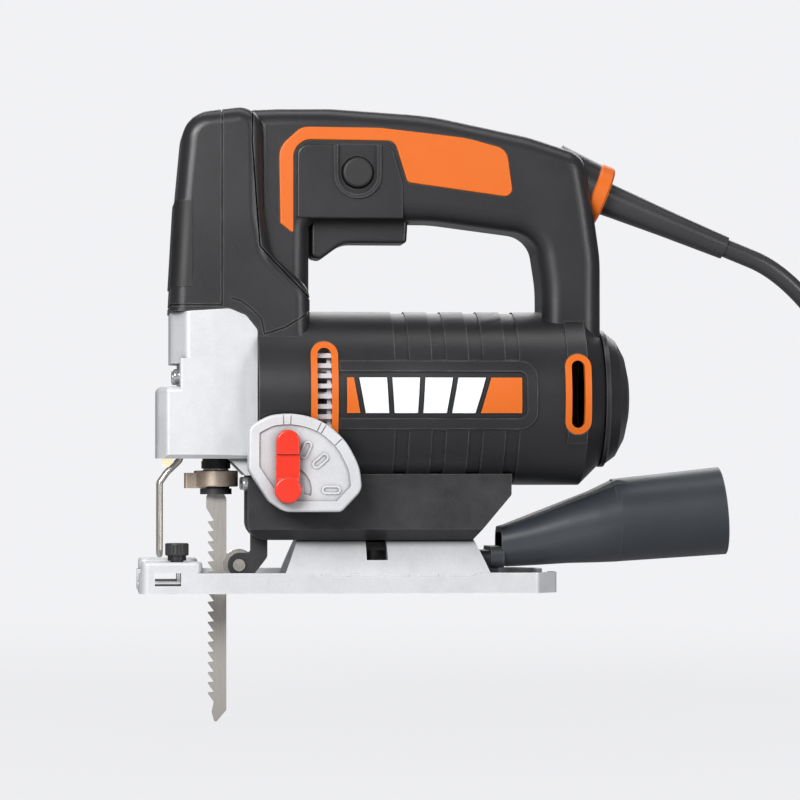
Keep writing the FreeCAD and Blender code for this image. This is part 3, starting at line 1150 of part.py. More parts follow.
def bevel_saddle():
    """The arched bracket on the plate: the arch turns under the foot and a slot lets the clamp bolt through."""
    half = SADDLE_R
    arch = rod(SADDLE_R, V(20, 0, 0), V(115, 0, 0)).cut(rod(SADDLE_R - SADDLE_THICK, V(19, 0, 0),
                                                            V(116, 0, 0)))
    arch = arch.common(box(20, 115, -30, 30, PLATE_THICK, 40))
    trim = side_slab(outline([(SADDLE_FRONT_BOTTOM - 2.0, PLATE_THICK),
                              (SADDLE_REAR_BOTTOM + 2.0, PLATE_THICK),
                              (SADDLE_REAR_TOP, SADDLE_R + 0.5), (SADDLE_FRONT_TOP,
                                                                  SADDLE_R + 0.5)]), -40, 40)
    arch = arch.common(trim)
    feet = []
    for side in (-1, 1):
        y0, y1 = sorted((side * (half - 6.0), side * (half - 0.6)))
        feet.append(plan_slab([(SADDLE_FRONT_BOTTOM + 3, y0, 0.5), (SADDLE_REAR_BOTTOM - 6, y0, 0.5),
                               (SADDLE_REAR_BOTTOM - 6, y1, 0.5), (SADDLE_FRONT_BOTTOM + 3, y1, 0.5)],
                              PLATE_THICK, PLATE_THICK + 2.4))
    solid = fuse_all([arch] + feet)
    # the curved slot spans the whole bevel range on both sides
    reach = math.radians(BEVEL_LIMIT + 12)
    fan = [V(0, 0, 0)] + [V(0, 40 * math.sin(-reach + i * reach / 6), 40 * math.cos(-reach + i * reach / 6))
                          for i in range(13)]
    solid = solid.cut(swept(Part.makePolygon(fan + fan[:1]), V(BOLT_X - 4.2, 0, 0), V(8.4, 0, 0)))
    for x in (46.8, 83.2):
        notch = side_slab(outline([(x - 4.5, SADDLE_R + 1), (x - 4.5, SADDLE_R - 3.4, 1.5),
                                   (x + 4.5, SADDLE_R - 3.4, 1.5),
                                   (x + 4.5, SADDLE_R + 1)]), -6, 6)
        solid = solid.cut(notch)
    return solid


def saddle_bolt():
    """The bevel clamp bolt: its curved washer presses the arch against the foot."""
    r = SADDLE_R - SADDLE_THICK - 0.3
    washer = rod(r, V(BOLT_X - 8.0, 0, 0), V(BOLT_X + 8.0, 0, 0)).common(
        box(BOLT_X - 8.0, BOLT_X + 8.0, -5.5, 5.5, r - 4.0, r + 1))
    socket = [(BOLT_X + 2.5 * math.cos(math.pi * k / 3), 2.5 * math.sin(math.pi * k / 3)) for k in range(6)]
    head = rod(5.0, V(BOLT_X, 0, r - 8.5), V(BOLT_X, 0, r - 4.0)).cut(plan_slab(socket, r - 9.0, r - 5.5))
    return fuse_all([washer, head, rod(BOLT_R, V(BOLT_X, 0, r - 5), V(BOLT_X, 0, 36.0))])


# ---------------------------------------------------------------- dust duct
def ring_wire(x, z, half_y, half_z, r):
    """A rounded rectangle across X, with the same eight edges whatever its size."""
    return outline([(-half_y, z - half_z, r), (half_y, z - half_z, r), (half_y, z + half_z, r),
                    (-half_y, z + half_z, r)], lambda a, b: V(x, a, b))


def dust_duct():
    """The extraction tube: a flat mouth behind the saddle that widens into a round hose end."""
    def skin(inset):
        stations = [(113.2, 17.4, 13.0, 8.0, 6.0), (126.0, 19.6, 14.2, 9.6, 7.4),
                    (140.0, 22.8, 15.4, 12.0, 9.6),
                    (152.0, 25.4, 16.2, 14.4, 12.4), (161.0, 27.8, 16.6, 16.6, 16.0)]
        wires = [ring_wire(x, z, hy - inset, hz - inset, r - inset) for x, z, hy, hz, r in stations]
        return Part.makeLoft(wires, True, True)

    tilt = math.radians(5.0)
    start, along = V(160.0, 0, 27.8), V(math.cos(tilt), 0, math.sin(tilt))
    outer_end = Part.makeCone(16.6, 17.6, 43.6, start, along)
    inner_end = Part.makeCone(14.0, 15.4, 46.0, start - along * 0.5, along)
    collar = section_slab([(-14.0, 9.2, 3), (14.0, 9.2, 3), (14.0, 17.6, 3), (-14.0, 17.6, 3)], 108.6, 114.0)
    spigot = section_slab([(-11.0, 5.0, 2), (11.0, 5.0, 2), (11.0, 16.0, 3), (-11.0, 16.0, 3)], 97.0, 112.0)
    bore = section_slab([(-9.0, 7.0, 1), (9.0, 7.0, 1), (9.0, 14.0, 1), (-9.0, 14.0, 1)], 96.0, 115.5)
    solid = fuse_all([skin(0.0), outer_end, collar, spigot])
    ledge = side_slab(outline([(116.0, 26.2), (150.0, 39.4), (160.0, 44.2, 2), (164.0, 43.6), (164.0, 36.0),
                               (116.0, 22.0)]), -8.0, 8.0)
    solid = solid.fuse(ledge)
    return solid.cut(skin(2.2).fuse(inner_end).fuse(bore))


# ---------------------------------------------------------------- motor
def armature_shaft():
    """The motor shaft, its pinion cut at the front end."""
    x = BEARING_PLATE_X
    start = V(GEAR_FRONT - 0.4, 0, MOTOR_Z)
    pinion = toothed(GEAR_MODULE, PINION_TEETH, GEAR_WIDTH + 1.0, GEAR_BACKLASH, start,
                     math.pi / PINION_TEETH)
    return fuse_all([pinion, motor_rod(3.0, GEAR_FRONT + GEAR_WIDTH + 0.3, x + 1),
                     motor_rod(4.0, x, x + BEARING_WIDTH + 3),
                     motor_rod(SHAFT_R, x + BEARING_WIDTH + 1.4, REAR_BEARING_X - 0.6),
                     motor_rod(4.0, REAR_BEARING_X - 2, REAR_BEARING_X + BEARING_WIDTH + 2)])


def armature_core():
    core = motor_tube(CORE_R, SHAFT_R, CORE_FRONT, CORE_REAR)
    for k in range(12):
        t = 2 * math.pi * k / 12
        core = core.cut(box(CORE_FRONT - 1, CORE_REAR + 1, -0.9, 0.9, CORE_R - 6, CORE_R + 1).translated(
            V(0, 0, 0)).rotated(V(0, 0, 0), X_AXIS, math.degrees(t)).translated(V(0, 0, MOTOR_Z)))
    return core


def armature_windings():
    ends = [motor_tube(15.0, SHAFT_R, CORE_FRONT - 6.0, CORE_FRONT),
            motor_tube(15.0, SHAFT_R, CORE_REAR, CORE_REAR + 7.0)]
    return Part.makeCompound([softened(e, 2.0, lambda g: g.Length > 80) for e in ends])


def commutator():
    drum = motor_tube(COMMUTATOR_R, SHAFT_R, COMMUTATOR_FRONT, COMMUTATOR_REAR)
    for k in range(24):
        slot = box(COMMUTATOR_FRONT - 1, COMMUTATOR_REAR + 1, -0.25, 0.25, COMMUTATOR_R - 1.0,
                   COMMUTATOR_R + 1)
        slot.rotate(V(0, 0, 0), X_AXIS, 15.0 * k)
        slot.translate(V(0, 0, MOTOR_Z))
        drum = drum.cut(slot)
    return drum


def cooling_fan():
    """A radial fan just behind the front bearing: a hub, a back plate and curved-back blades."""
    x0, x1 = 30.0, 44.0
    fan = motor_rod(8.0, x0, x1).fuse(motor_rod(FAN_R, x1 - 1.6, x1))
    blades = []
    for k in range(18):
        blade_shape = box(x0, x1 - 1.0, -0.8, 0.8, 13.0, FAN_R - 0.2)
        blade_shape.rotate(V(0, 0, 13.0), X_AXIS, 14.0)
        blade_shape.rotate(V(0, 0, 0), X_AXIS, 20.0 * k)
        blade_shape.translate(V(0, 0, MOTOR_Z))
        blades.append(blade_shape)
    fan = fan.fuse(blades).common(motor_rod(FAN_R, x0 - 1, x1 + 1))
    return fan.cut(motor_rod(SHAFT_R, x0 - 1, x1 + 1))


def stator():
    ring = motor_tube(STATOR_OUTER - 0.02, STATOR_INNER, CORE_FRONT, CORE_REAR)
    for s in (-1, 1):
        low, high = sorted((s * 18.5, s * 26.0))
        window = box(CORE_FRONT - 1, CORE_REAR + 1, low, high, MOTOR_Z - 9.0, MOTOR_Z + 9.0)
        ring = ring.cut(window)
    return ring


def field_coils():
    coils = []
    for s in (-1, 1):
        low, high = sorted((s * 18.8, s * 25.6))
        block = box(CORE_FRONT - 5.0, CORE_REAR + 6.0, low, high, MOTOR_Z - 8.7, MOTOR_Z + 8.7)
        coils.append(softened(block, 2.4, lambda e: e.BoundBox.XLength < 1))
    return Part.makeCompound(coils)


def brushes():
    x = (COMMUTATOR_FRONT + COMMUTATOR_REAR) / 2
    gap = COMMUTATOR_R + 0.15
    return Part.makeCompound([box(x - 4, x + 4, *sorted((s * gap, s * 21.0)), MOTOR_Z - 3.0, MOTOR_Z + 3.0)
                              for s in (-1, 1)])


def brush_holders():
    x = (COMMUTATOR_FRONT + COMMUTATOR_REAR) / 2
    shapes = []
    for s in (-1, 1):
        holder = box(x - 5.4, x + 5.4, *sorted((s * 14.0, s * 31.2)), MOTOR_Z - 4.4, MOTOR_Z + 4.4)
        holder = holder.cut(box(x - 4.02, x + 4.02, *sorted((s * 13.0, s * 24.0)), MOTOR_Z - 3.02,
                                MOTOR_Z + 3.02))
        shapes.append(holder)
    return Part.makeCompound(shapes)


def ball_bearing(outer, x):
    return motor_tube(outer - 0.01, 4.0 + SHAFT_FIT, x, x + BEARING_WIDTH)


# ---------------------------------------------------------------- cord
def cord_route():
    """The lead from the boot down to the floor and into the coil, as chosen points."""
    centre, along = exit_frame()
    first = centre + along * BOOT_LENGTH
    return [first, first + along * 24.0, V(250.0, 1.0, 103.0), V(264.0, 4.0, 70.0), V(271.0, 10.0, 34.0),
            V(276.0, 19.0, 0.0), V(284.0, 29.0, -28.0), V(303.0, 38.0, -44.5), V(330.0, COIL_MEAN_R, -46.0)]


def power_cord(coil):
    points = cord_route()
    edges = bent_path(points, None)
    spine = Part.Wire(edges)
    ring = Part.Wire(Part.makeCircle(CORD_D / 2, points[0], points[1] - points[0]))
    cord = spine.makePipeShell([ring], True, False)
    section = math.pi * CORD_D ** 2 / 4
    radii = [round(e.Curve.Radius, 1) for e in edges if hasattr(e.Curve, "Radius")]
    print(f"cord: radii {radii}, volume over section x length {cord.Volume / (section * spine.Length):.4f}")
    cord = cord.cut(coil)
    return max(cord.Solids, key=lambda s: s.Volume)


def cord_coil():
    low = FLOOR_Z + TIE_THICK
    ring = rod(COIL_OUTER_R, V(COIL_X, COIL_Y, low), V(COIL_X, COIL_Y, low + COIL_HEIGHT))
    ring = ring.cut(rod(COIL_INNER_R, V(COIL_X, COIL_Y, low - 1), V(COIL_X, COIL_Y, low + COIL_HEIGHT + 1)))
    return ring.makeFillet(5.0, [e for e in ring.Edges if e.Length > 100])


def coil_tie():
    """A strap round the bundle on the far side of the coil."""
    low = FLOOR_Z + TIE_THICK
    x0, x1 = COIL_X + COIL_INNER_R - 0.5, COIL_X + COIL_OUTER_R
    band = section_across(x0 - TIE_THICK - 0.6, x1 + TIE_THICK, low - TIE_THICK,
                          low + COIL_HEIGHT + TIE_THICK, 6.0)
    return band.cut(section_across(x0 - 0.3, x1 + 0.25, low, low + COIL_HEIGHT, 5.0)).cut(cord_coil())


def section_across(x_low, x_high, z_low, z_high, r):
    wire = outline([(x_low, z_low, r), (x_high, z_low, r), (x_high, z_high, r), (x_low, z_high, r)])
    return side_slab(wire, COIL_Y - 7.0, COIL_Y + 7.0)


def plug_body():
    """A flat two-pin plug: an oval grip that narrows to the lead."""
    stations = [(PLUG_FRONT, 17.6, 11.8), (PLUG_FRONT + 14, 17.6, 11.8), (PLUG_FRONT + 20, 14.0, 10.4),
                (PLUG_REAR - 8, 11.0, 8.4), (PLUG_REAR, 7.0, 6.4)]
    wires = [outline([(PLUG_Y - hy, PLUG_Z - hz, hz * 0.8), (PLUG_Y + hy, PLUG_Z - hz, hz * 0.8),
                      (PLUG_Y + hy, PLUG_Z + hz, hz * 0.8), (PLUG_Y - hy, PLUG_Z + hz, hz * 0.8)],
                     lambda a, b, x=x: V(x, a, b)) for x, hy, hz in stations]
    body = Part.makeLoft(wires, True, True)
    for y in (-9.5, 9.5):
        body = body.cut(rod(2.4, V(PLUG_FRONT - 1, PLUG_Y + y, PLUG_Z),
                            V(PLUG_FRONT + 8, PLUG_Y + y, PLUG_Z)))
    return body


def plug_pins():
    pins = [rod(2.4, V(PLUG_FRONT - 19, PLUG_Y + y, PLUG_Z),
                V(PLUG_FRONT + 8, PLUG_Y + y, PLUG_Z)) for y in (-9.5, 9.5)]
    return Part.makeCompound([softened(p, 1.2,
                                       lambda e: abs(e.BoundBox.XMax - PLUG_FRONT + 19) < 1e-3) for p in pins])


def plug_lead(coil):
    lead = rod(CORD_D / 2, V(PLUG_REAR, PLUG_Y, PLUG_Z), V(COIL_X - 8, PLUG_Y, PLUG_Z)).cut(coil)
    return max(lead.Solids, key=lambda s: s.BoundBox.XMin * -1)


# ---------------------------------------------------------------- build
left, right, nose = build_housing()
pad, nose = build_nose_pad(nose)
save("housing_left", left)
save("housing_right", right)
save("nose_cover", nose)
save("nose_pad", pad)
save("handle_inlays", Part.makeCompound([inlay(-1), inlay(1)]))
save("vent_frames", Part.makeCompound(
    [vent_frame(VENT_FRONT_X, VENT_FRONT_BOTTOM, VENT_FRONT_TOP, VENT_FRONT_WIDTH, s) for s in (-1, 1)]
    + [vent_frame(VENT_REAR_X, VENT_REAR_BOTTOM, VENT_REAR_TOP, VENT_REAR_WIDTH, s) for s in (-1, 1)]))
save("vent_louvres", vent_louvres())
white, colour = badge_plates()
save("badge_bars", white)
save("badge_ends", colour)
save("cord_collar", cord_collar())
save("cord_boot", cord_boot())
save("cord_clamp", cord_clamp())
save("motor_end_cap", end_cap())
save("trigger", trigger())
save("lock_button", lock_button())
save("switch_module", Part.makeCompound([switch_module(), suppressor()]))
save("housing_screws", Part.makeCompound([housing_screw(*p) for p in SCREW_PLACES]))

save("gear_case", gear_case())
save("finger_guard", finger_guard())
save("led_lens", led_lens())
save("case_screws",
     Part.makeCompound(case_front_screws().Solids + ring_screws().Solids + foot_screws().Solids))
save("bearing_plate", bearing_plate())
save("drive_gear", drive_gear())
save("crank_pin", crank_pin())
save("swing_guide", swing_guide())
save("plunger_bushes", plunger_bushes())
save("plunger", plunger())
save("plunger_seal", plunger_seal())
save("clamp_hub", clamp_hub())
save("clamp_ring", clamp_ring())
save("blade", blade())
save("guide_roller", guide_roller())
save("roller_arm", roller_arm())
save("roller_pin", roller_pin())
save("fixed_pins", Part.makeCompound([arm_pivot(), swing_pin(), gear_axle()]))
save("selector_plate", selector_plate())
save("orbit_lever", orbit_lever())
save("cam_shaft", cam_shaft())
save("foot", foot())
save("base_plate", base_plate())
save("fence_liner", fence_liner())
save("fence_screw", fence_screw())
save("bevel_saddle", bevel_saddle())
save("saddle_bolt", saddle_bolt())
save("dust_duct", dust_duct())
save("armature_shaft", armature_shaft())
save("armature_core", armature_core())
save("armature_windings", armature_windings())
save("commutator", commutator())
save("cooling_fan", cooling_fan())
save("stator", stator())
save("field_coils", field_coils())
save("brush_gear", Part.makeCompound(brushes().Solids + brush_holders().Solids))
save("bearings", Part.makeCompound([ball_bearing(FRONT_BEARING_R, BEARING_PLATE_X + 0.5),
                                    ball_bearing(REAR_BEARING_R, REAR_BEARING_X)]))
coil = cord_coil()
save("cord_coil", coil)
save("power_cord", power_cord(coil))
save("coil_tie", coil_tie())
save("plug_body", plug_body())
save("plug_pins", plug_pins())
save("cord_ends", Part.makeCompound([inner_lead(), plug_lead(coil)]))
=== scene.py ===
# %% [markdown]
# # A jigsaw, finished for a picture
# The mechanical model of the saw is already packed: every shell half, screw and gear has its place.
# This lesson loads that model, models the mains lead that a solid modeller can only suggest, gives
# every surface a finish of its own, and puts a studio round it.

import json
import math

import bmesh
import bpy
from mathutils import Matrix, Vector


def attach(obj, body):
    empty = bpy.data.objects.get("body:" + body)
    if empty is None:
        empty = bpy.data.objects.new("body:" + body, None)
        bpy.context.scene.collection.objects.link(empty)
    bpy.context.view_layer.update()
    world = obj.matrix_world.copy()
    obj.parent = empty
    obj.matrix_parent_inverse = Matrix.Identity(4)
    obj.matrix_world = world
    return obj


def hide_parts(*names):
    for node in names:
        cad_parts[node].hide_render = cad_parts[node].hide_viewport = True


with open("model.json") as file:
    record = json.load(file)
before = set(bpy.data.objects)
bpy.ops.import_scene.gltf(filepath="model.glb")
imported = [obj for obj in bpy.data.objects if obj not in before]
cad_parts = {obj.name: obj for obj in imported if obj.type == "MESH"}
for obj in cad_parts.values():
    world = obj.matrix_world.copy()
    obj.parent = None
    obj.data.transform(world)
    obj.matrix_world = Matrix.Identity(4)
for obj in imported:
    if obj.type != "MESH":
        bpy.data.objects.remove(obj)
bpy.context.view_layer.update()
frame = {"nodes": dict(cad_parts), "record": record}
print(f"{len(frame['nodes'])} CAD nodes")

MM = 0.001


def mm(x, y, z):
    return Vector((x * MM, y * MM, z * MM))


# %% [markdown]
# ## Camera
# The saw is seen square from its left side, from far away with a long lens, so that the round barrel
# hardly tapers. A nearer camera with a wide lens would show the same outline with a swollen middle.

# %% Camera
EYE = mm(-56, -1500, 54)
LOOK_AT = mm(73.6, 0, 76)
SEEN_WIDTH = 320 * MM
SENSOR = 36.0


def turned_to(obj, target):
    obj.rotation_mode = "QUATERNION"
    obj.rotation_quaternion = (target - obj.location).to_track_quat("-Z", "Y")


lens = bpy.data.cameras.new("studio_camera")
lens.sensor_width = SENSOR
lens.lens = SENSOR * (LOOK_AT - EYE).length / SEEN_WIDTH
camera = bpy.data.objects.new("studio_camera", lens)
camera.location = EYE
turned_to(camera, LOOK_AT)
bpy.context.scene.collection.objects.link(camera)
bpy.context.scene.camera = camera
print(f"lens {lens.lens:.1f} mm")

# %% [markdown]
# ## The route of the lead
# A mains lead is heavy for its stiffness, so it leaves its rubber sleeve, droops, and lies on the
# floor. What isn't needed is wound into a flat coil. One NURBS spline of order 3 carries all of it:
# its control points are the same chosen points as the solid model's, and the coil's turns are more
# points of the same spline. A spline through many sampled points would look like bent wire instead.

# %% Where the lead goes
FLOOR = -52.0
CORD_D = 7.5
FALL = math.radians(22.0)
EXIT = mm(153.0, 0.0, 158.5)
ALONG = Vector((math.cos(FALL), 0.0, -math.sin(FALL)))
BOOT_LENGTH = 56.0
COIL_X = 345.0
SLOT_RADII = {"outer": 49.4, "middle": 41.4, "inner": 33.4}
SLOT_HEIGHTS = (FLOOR + 4.8, FLOOR + 12.6, FLOOR + 20.4)
ENTRY_ANGLE = 105.0
LAST_TURN = 2345.0

# Each row: where the change of slot begins and ends, in degrees wound, then the ring and the layer
# that it leads to.
CHANGES = [
    (0, 0, "outer", 0),
    (265, 330, "middle", 0),
    (625, 690, "inner", 0),
    (915, 980, "inner", 1),
    (1205, 1270, "middle", 1),
    (1495, 1560, "middle", 2),
    (1785, 1850, "outer", 2),
    (2075, 2140, "outer", 1),
]


def coil_slot(wound):
    """The radius and height of the turns after that many degrees of winding."""
    radius, height = SLOT_RADII["outer"], SLOT_HEIGHTS[0]
    for start, end, ring, layer in CHANGES:
        if wound >= end:
            radius, height = SLOT_RADII[ring], SLOT_HEIGHTS[layer]
        elif wound > start:
            share = (wound - start) / (end - start)
            share = share * share * (3 - 2 * share)
            radius += share * (SLOT_RADII[ring] - radius)
            height += share * (SLOT_HEIGHTS[layer] - height)
            break
    return radius, height


def coil_points(step=20.0):
    """The coil's control points, further out than the slots because a spline cuts its corners."""
    pulled_in = 0.75 + 0.25 * math.cos(math.radians(step))
    points, wound = [], 0.0
    while wound <= LAST_TURN:
        radius, height = coil_slot(wound)
        angle = math.radians(ENTRY_ANGLE - wound)
        radius /= pulled_in
        points.append(mm(COIL_X + radius * math.cos(angle), radius * math.sin(angle), height))
        wound += step
    return points


PLUG_REAR, PLUG_Y, PLUG_Z = 300.0, -41.5, -40.2
route = [EXIT, EXIT + ALONG * BOOT_LENGTH * MM, EXIT + ALONG * (BOOT_LENGTH + 24.0) * MM,
         mm(250, 1, 103), mm(264, 4, 70), mm(271, 10, 34), mm(276, 19, 0), mm(284, 29, -28),
         mm(303, 40, -45.5)]
route += coil_points()
route += [mm(333, -48.6, -39.6), mm(318, -44.2, -40)]
route += [mm(PLUG_REAR + 4, PLUG_Y, PLUG_Z), mm(PLUG_REAR - 10, PLUG_Y, PLUG_Z)]
print(f"{len(route)} control points")


# %% The lead as one spline
def spline_through(name, points, radius):
    data = bpy.data.curves.new(name, "CURVE")
    data.dimensions = "3D"
    spline = data.splines.new("NURBS")
    spline.points.add(len(points) - 1)
    for target, point in zip(spline.points, points):
        target.co = (*point, 1.0)
        target.radius = radius
    spline.order_u = 3
    spline.use_endpoint_u = True
    data.resolution_u = 10
    data.bevel_depth = 1.0  # times each point's own radius, which also keeps the curve's bounds tight
    data.bevel_resolution = 6
    data.use_fill_caps = True
    made = bpy.data.objects.new(name, data)
    bpy.context.scene.collection.objects.link(made)
    return made


def line_of(curve):
    """The points of a curve's own line, with no thickness."""
    bare = curve.copy()
    bare.data = curve.data.copy()
    bare.data.bevel_depth = 0.0
    mesh = bpy.data.meshes.new_from_object(bare)
    points = [v.co.copy() for v in mesh.vertices]
    bpy.data.meshes.remove(mesh)
    bpy.data.curves.remove(bare.data)
    return points


lead = spline_through("mains_lead", route, CORD_D / 2 * MM)
lead_line = line_of(lead)
lead_length = sum((b - a).length for a, b in zip(lead_line, lead_line[1:]))
print(f"lead {lead_length:.3f} m")

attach(lead, "housing")
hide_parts("power_cord", "cord_coil", "cord_ends")

# %% [markdown]
# ## Effects that several finishes share
# Grain, edge wear with a painted edge highlight, brushing and a cast skin turn up on many pieces, so
# each is a node group with named inputs. They read Object coordinates: the pieces all sit at the
# origin in metres, so a grain of a given size is the same size on every piece. A picture texture would
# need unwrapping and would show where it repeats.

# %% A helper for node groups
def new_group(name, inputs, outputs):
    tree = bpy.data.node_groups.new(name, "ShaderNodeTree")
    for title, kind, default in inputs:
        socket = tree.interface.new_socket(name=title, in_out="INPUT", socket_type=kind)
        if default is not None:
            socket.default_value = default
    for title, kind in outputs:
        tree.interface.new_socket(name=title, in_out="OUTPUT", socket_type=kind)
    return tree, tree.nodes.new("NodeGroupInput"), tree.nodes.new("NodeGroupOutput")


def add(tree, kind, settings=None, **inputs):
    """A node with its settings, and its inputs set to a value or joined to a socket."""
    node = tree.nodes.new(kind)
    for key, value in (settings or {}).items():
        setattr(node, key, value)
    for key, value in inputs.items():
        name = key.replace("_", " ")
        socket = node.inputs[int(name[2:])] if name.startswith("at") else node.inputs[name]
        if isinstance(value, bpy.types.NodeSocket):
            tree.links.new(value, socket)
        else:
            socket.default_value = value
    return node


def blend_colours(tree, share, first, second, how="MIX"):
    node = tree.nodes.new("ShaderNodeMix")
    node.data_type = "RGBA"
    node.blend_type = how
    for socket, value in zip((node.inputs[0], node.inputs[6], node.inputs[7]), (share, first, second)):
        if isinstance(value, bpy.types.NodeSocket):
            tree.links.new(value, socket)
        else:
            socket.default_value = value
    return node.outputs[2]


def stretch(tree, value, low, high, to_low, to_high):
    """The value's span from low to high becomes to_low to to_high, and no further."""
    node = add(tree, "ShaderNodeMapRange", Value=value)
    for name, number in (("From Min", low), ("From Max", high), ("To Min", to_low), ("To Max", to_high)):
        if isinstance(number, bpy.types.NodeSocket):
            tree.links.new(number, node.inputs[name])
        else:
            node.inputs[name].default_value = number
    return node.outputs["Result"]


def calculate(tree, operation, first, second=0.0):
    node = add(tree, "ShaderNodeMath", {"operation": operation}, at0=first, at1=second)
    return node.outputs[0]


# %% [markdown]
# ### Moulded grain
# A tool shell comes out of a spark-eroded mould, which leaves a fine, even pebble that scatters the
# light. Two sizes of noise make the pebble, and a slow cloudiness keeps a large face from looking flat.

# %% Moulded grain
def make_moulded_grain():
    tree, given, result = new_group(
        "moulded_grain",
        [("Colour", "NodeSocketColor", None), ("Pale Colour", "NodeSocketColor", None),
         ("Grain Scale", "NodeSocketFloat", 2600.0), ("Cloud Scale", "NodeSocketFloat", 22.0),
         ("Smooth", "NodeSocketFloat", 0.45), ("Rough", "NodeSocketFloat", 0.6)],
        [("Colour", "NodeSocketColor"), ("Roughness", "NodeSocketFloat"), ("Height", "NodeSocketFloat")])
    where = add(tree, "ShaderNodeTexCoord").outputs["Object"]
    grain = add(tree, "ShaderNodeTexNoise", Vector=where, Scale=given.outputs["Grain Scale"],
                Detail=3.0, Roughness=0.6)
    pebble = add(tree, "ShaderNodeTexVoronoi", {"feature": "SMOOTH_F1"}, Vector=where,
                 Scale=given.outputs["Grain Scale"], Smoothness=0.6)
    cloud = add(tree, "ShaderNodeTexNoise", Vector=where, Scale=given.outputs["Cloud Scale"], Detail=4.0)
    pebbles = calculate(tree, "MULTIPLY", pebble.outputs["Distance"], 0.5)
    height = calculate(tree, "ADD", grain.outputs["Fac"], pebbles)
    speck = stretch(tree, grain.outputs["Fac"], 0.35, 0.7, 0.0, 0.55)
    slow = stretch(tree, cloud.outputs["Fac"], 0.3, 0.75, 0.0, 0.6)
    share = calculate(tree, "MAXIMUM", speck, slow)
    colour = blend_colours(tree, share, given.outputs["Colour"], given.outputs["Pale Colour"])
    rough = stretch(tree, cloud.outputs["Fac"], 0.3, 0.75, given.outputs["Smooth"], given.outputs["Rough"])
    for name, socket in (("Colour", colour), ("Roughness", rough), ("Height", height)):
        tree.links.new(socket, result.inputs[name])
    return tree


MOULDED_GRAIN = make_moulded_grain()

# %% [markdown]
# ### Edge wear and painted edge highlight
# Handling rubs the corners of a tool smooth and paler, and the same pale line also paints the highlight
# that a rounded edge would catch: partly real wear, partly painted highlight. The Bevel node gives the
# normal that a rounded corner would have, and where that differs from the true normal there is an edge.
# A noise breaks the line up, since nobody rubs every corner equally.

# %% Edge wear and painted edge highlight
# The pale edge colour is partly wear on the corners and partly a painted highlight along them.
def make_edge_wear_and_highlight():
    tree, given, result = new_group(
        "edge_wear_and_highlight",
        [("Colour", "NodeSocketColor", None), ("Worn Colour", "NodeSocketColor", None),
         ("Amount", "NodeSocketFloat", 0.5), ("Width", "NodeSocketFloat", 0.0008),
         ("Roughness", "NodeSocketFloat", 0.5), ("Worn Roughness", "NodeSocketFloat", 0.35)],
        [("Colour", "NodeSocketColor"), ("Roughness", "NodeSocketFloat"), ("Edge", "NodeSocketFloat")])
    rounded = add(tree, "ShaderNodeBevel", {"samples": 4}, Radius=given.outputs["Width"])
    true = add(tree, "ShaderNodeNewGeometry").outputs["Normal"]
    alike = add(tree, "ShaderNodeVectorMath", {"operation": "DOT_PRODUCT"}, at0=rounded.outputs[0], at1=true)
    edge = stretch(tree, alike.outputs["Value"], 0.995, 0.84, 0.0, 1.0)
    where = add(tree, "ShaderNodeTexCoord").outputs["Object"]
    patches = add(tree, "ShaderNodeTexNoise", Vector=where, Scale=160.0, Detail=5.0, Roughness=0.65)
    broken = stretch(tree, patches.outputs["Fac"], 0.35, 0.62, 0.25, 1.0)
    mask = calculate(tree, "MULTIPLY", calculate(tree, "MULTIPLY", edge, broken), given.outputs["Amount"])
    colour = blend_colours(tree, mask, given.outputs["Colour"], given.outputs["Worn Colour"])
    rough = stretch(tree, mask, 0.0, 1.0, given.outputs["Roughness"], given.outputs["Worn Roughness"])
    for name, socket in (("Colour", colour), ("Roughness", rough), ("Edge", mask)):
        tree.links.new(socket, result.inputs[name])
    return tree


EDGE_WEAR_AND_HIGHLIGHT = make_edge_wear_and_highlight()

# %% [markdown]
# ### Painted crevice shade
# In a moulded shell the seams, the grooves between ribs and the corner under a trigger see little light,
# and this group paints that shade into the colour. Ambient occlusion measures how shut in a point is,
# which gives a mask to darken it with. Painting those lines by hand would break as soon as a size changes.

# %% Painted crevice shade
# Paints shade into the colour: the more shut in a point is, the nearer it comes to the dark colour.
def make_painted_crevice_shade():
    tree, given, result = new_group(
        "painted_crevice_shade",
        [("Colour", "NodeSocketColor", None), ("Deep Colour", "NodeSocketColor", None),
         ("Reach", "NodeSocketFloat", 0.006), ("Amount", "NodeSocketFloat", 0.7)],
        [("Colour", "NodeSocketColor"), ("Painted Shade", "NodeSocketFloat")])
    shut_in = add(tree, "ShaderNodeAmbientOcclusion", {"samples": 6}, Distance=given.outputs["Reach"])
    depth = stretch(tree, shut_in.outputs["AO"], 0.92, 0.35, 0.0, 1.0)
    mask = calculate(tree, "MULTIPLY", depth, given.outputs["Amount"])
    colour = blend_colours(tree, mask, given.outputs["Colour"], given.outputs["Deep Colour"])
    for name, socket in (("Colour", colour), ("Painted Shade", mask)):
        tree.links.new(socket, result.inputs[name])
    return tree


PAINTED_CREVICE_SHADE = make_painted_crevice_shade()

# %% [markdown]
# ### Cast skin
# The gear case and the base are die castings, blasted with fine beads: a matt silver-grey skin with
# tiny pits and a faint mottle where the metal cooled unevenly.

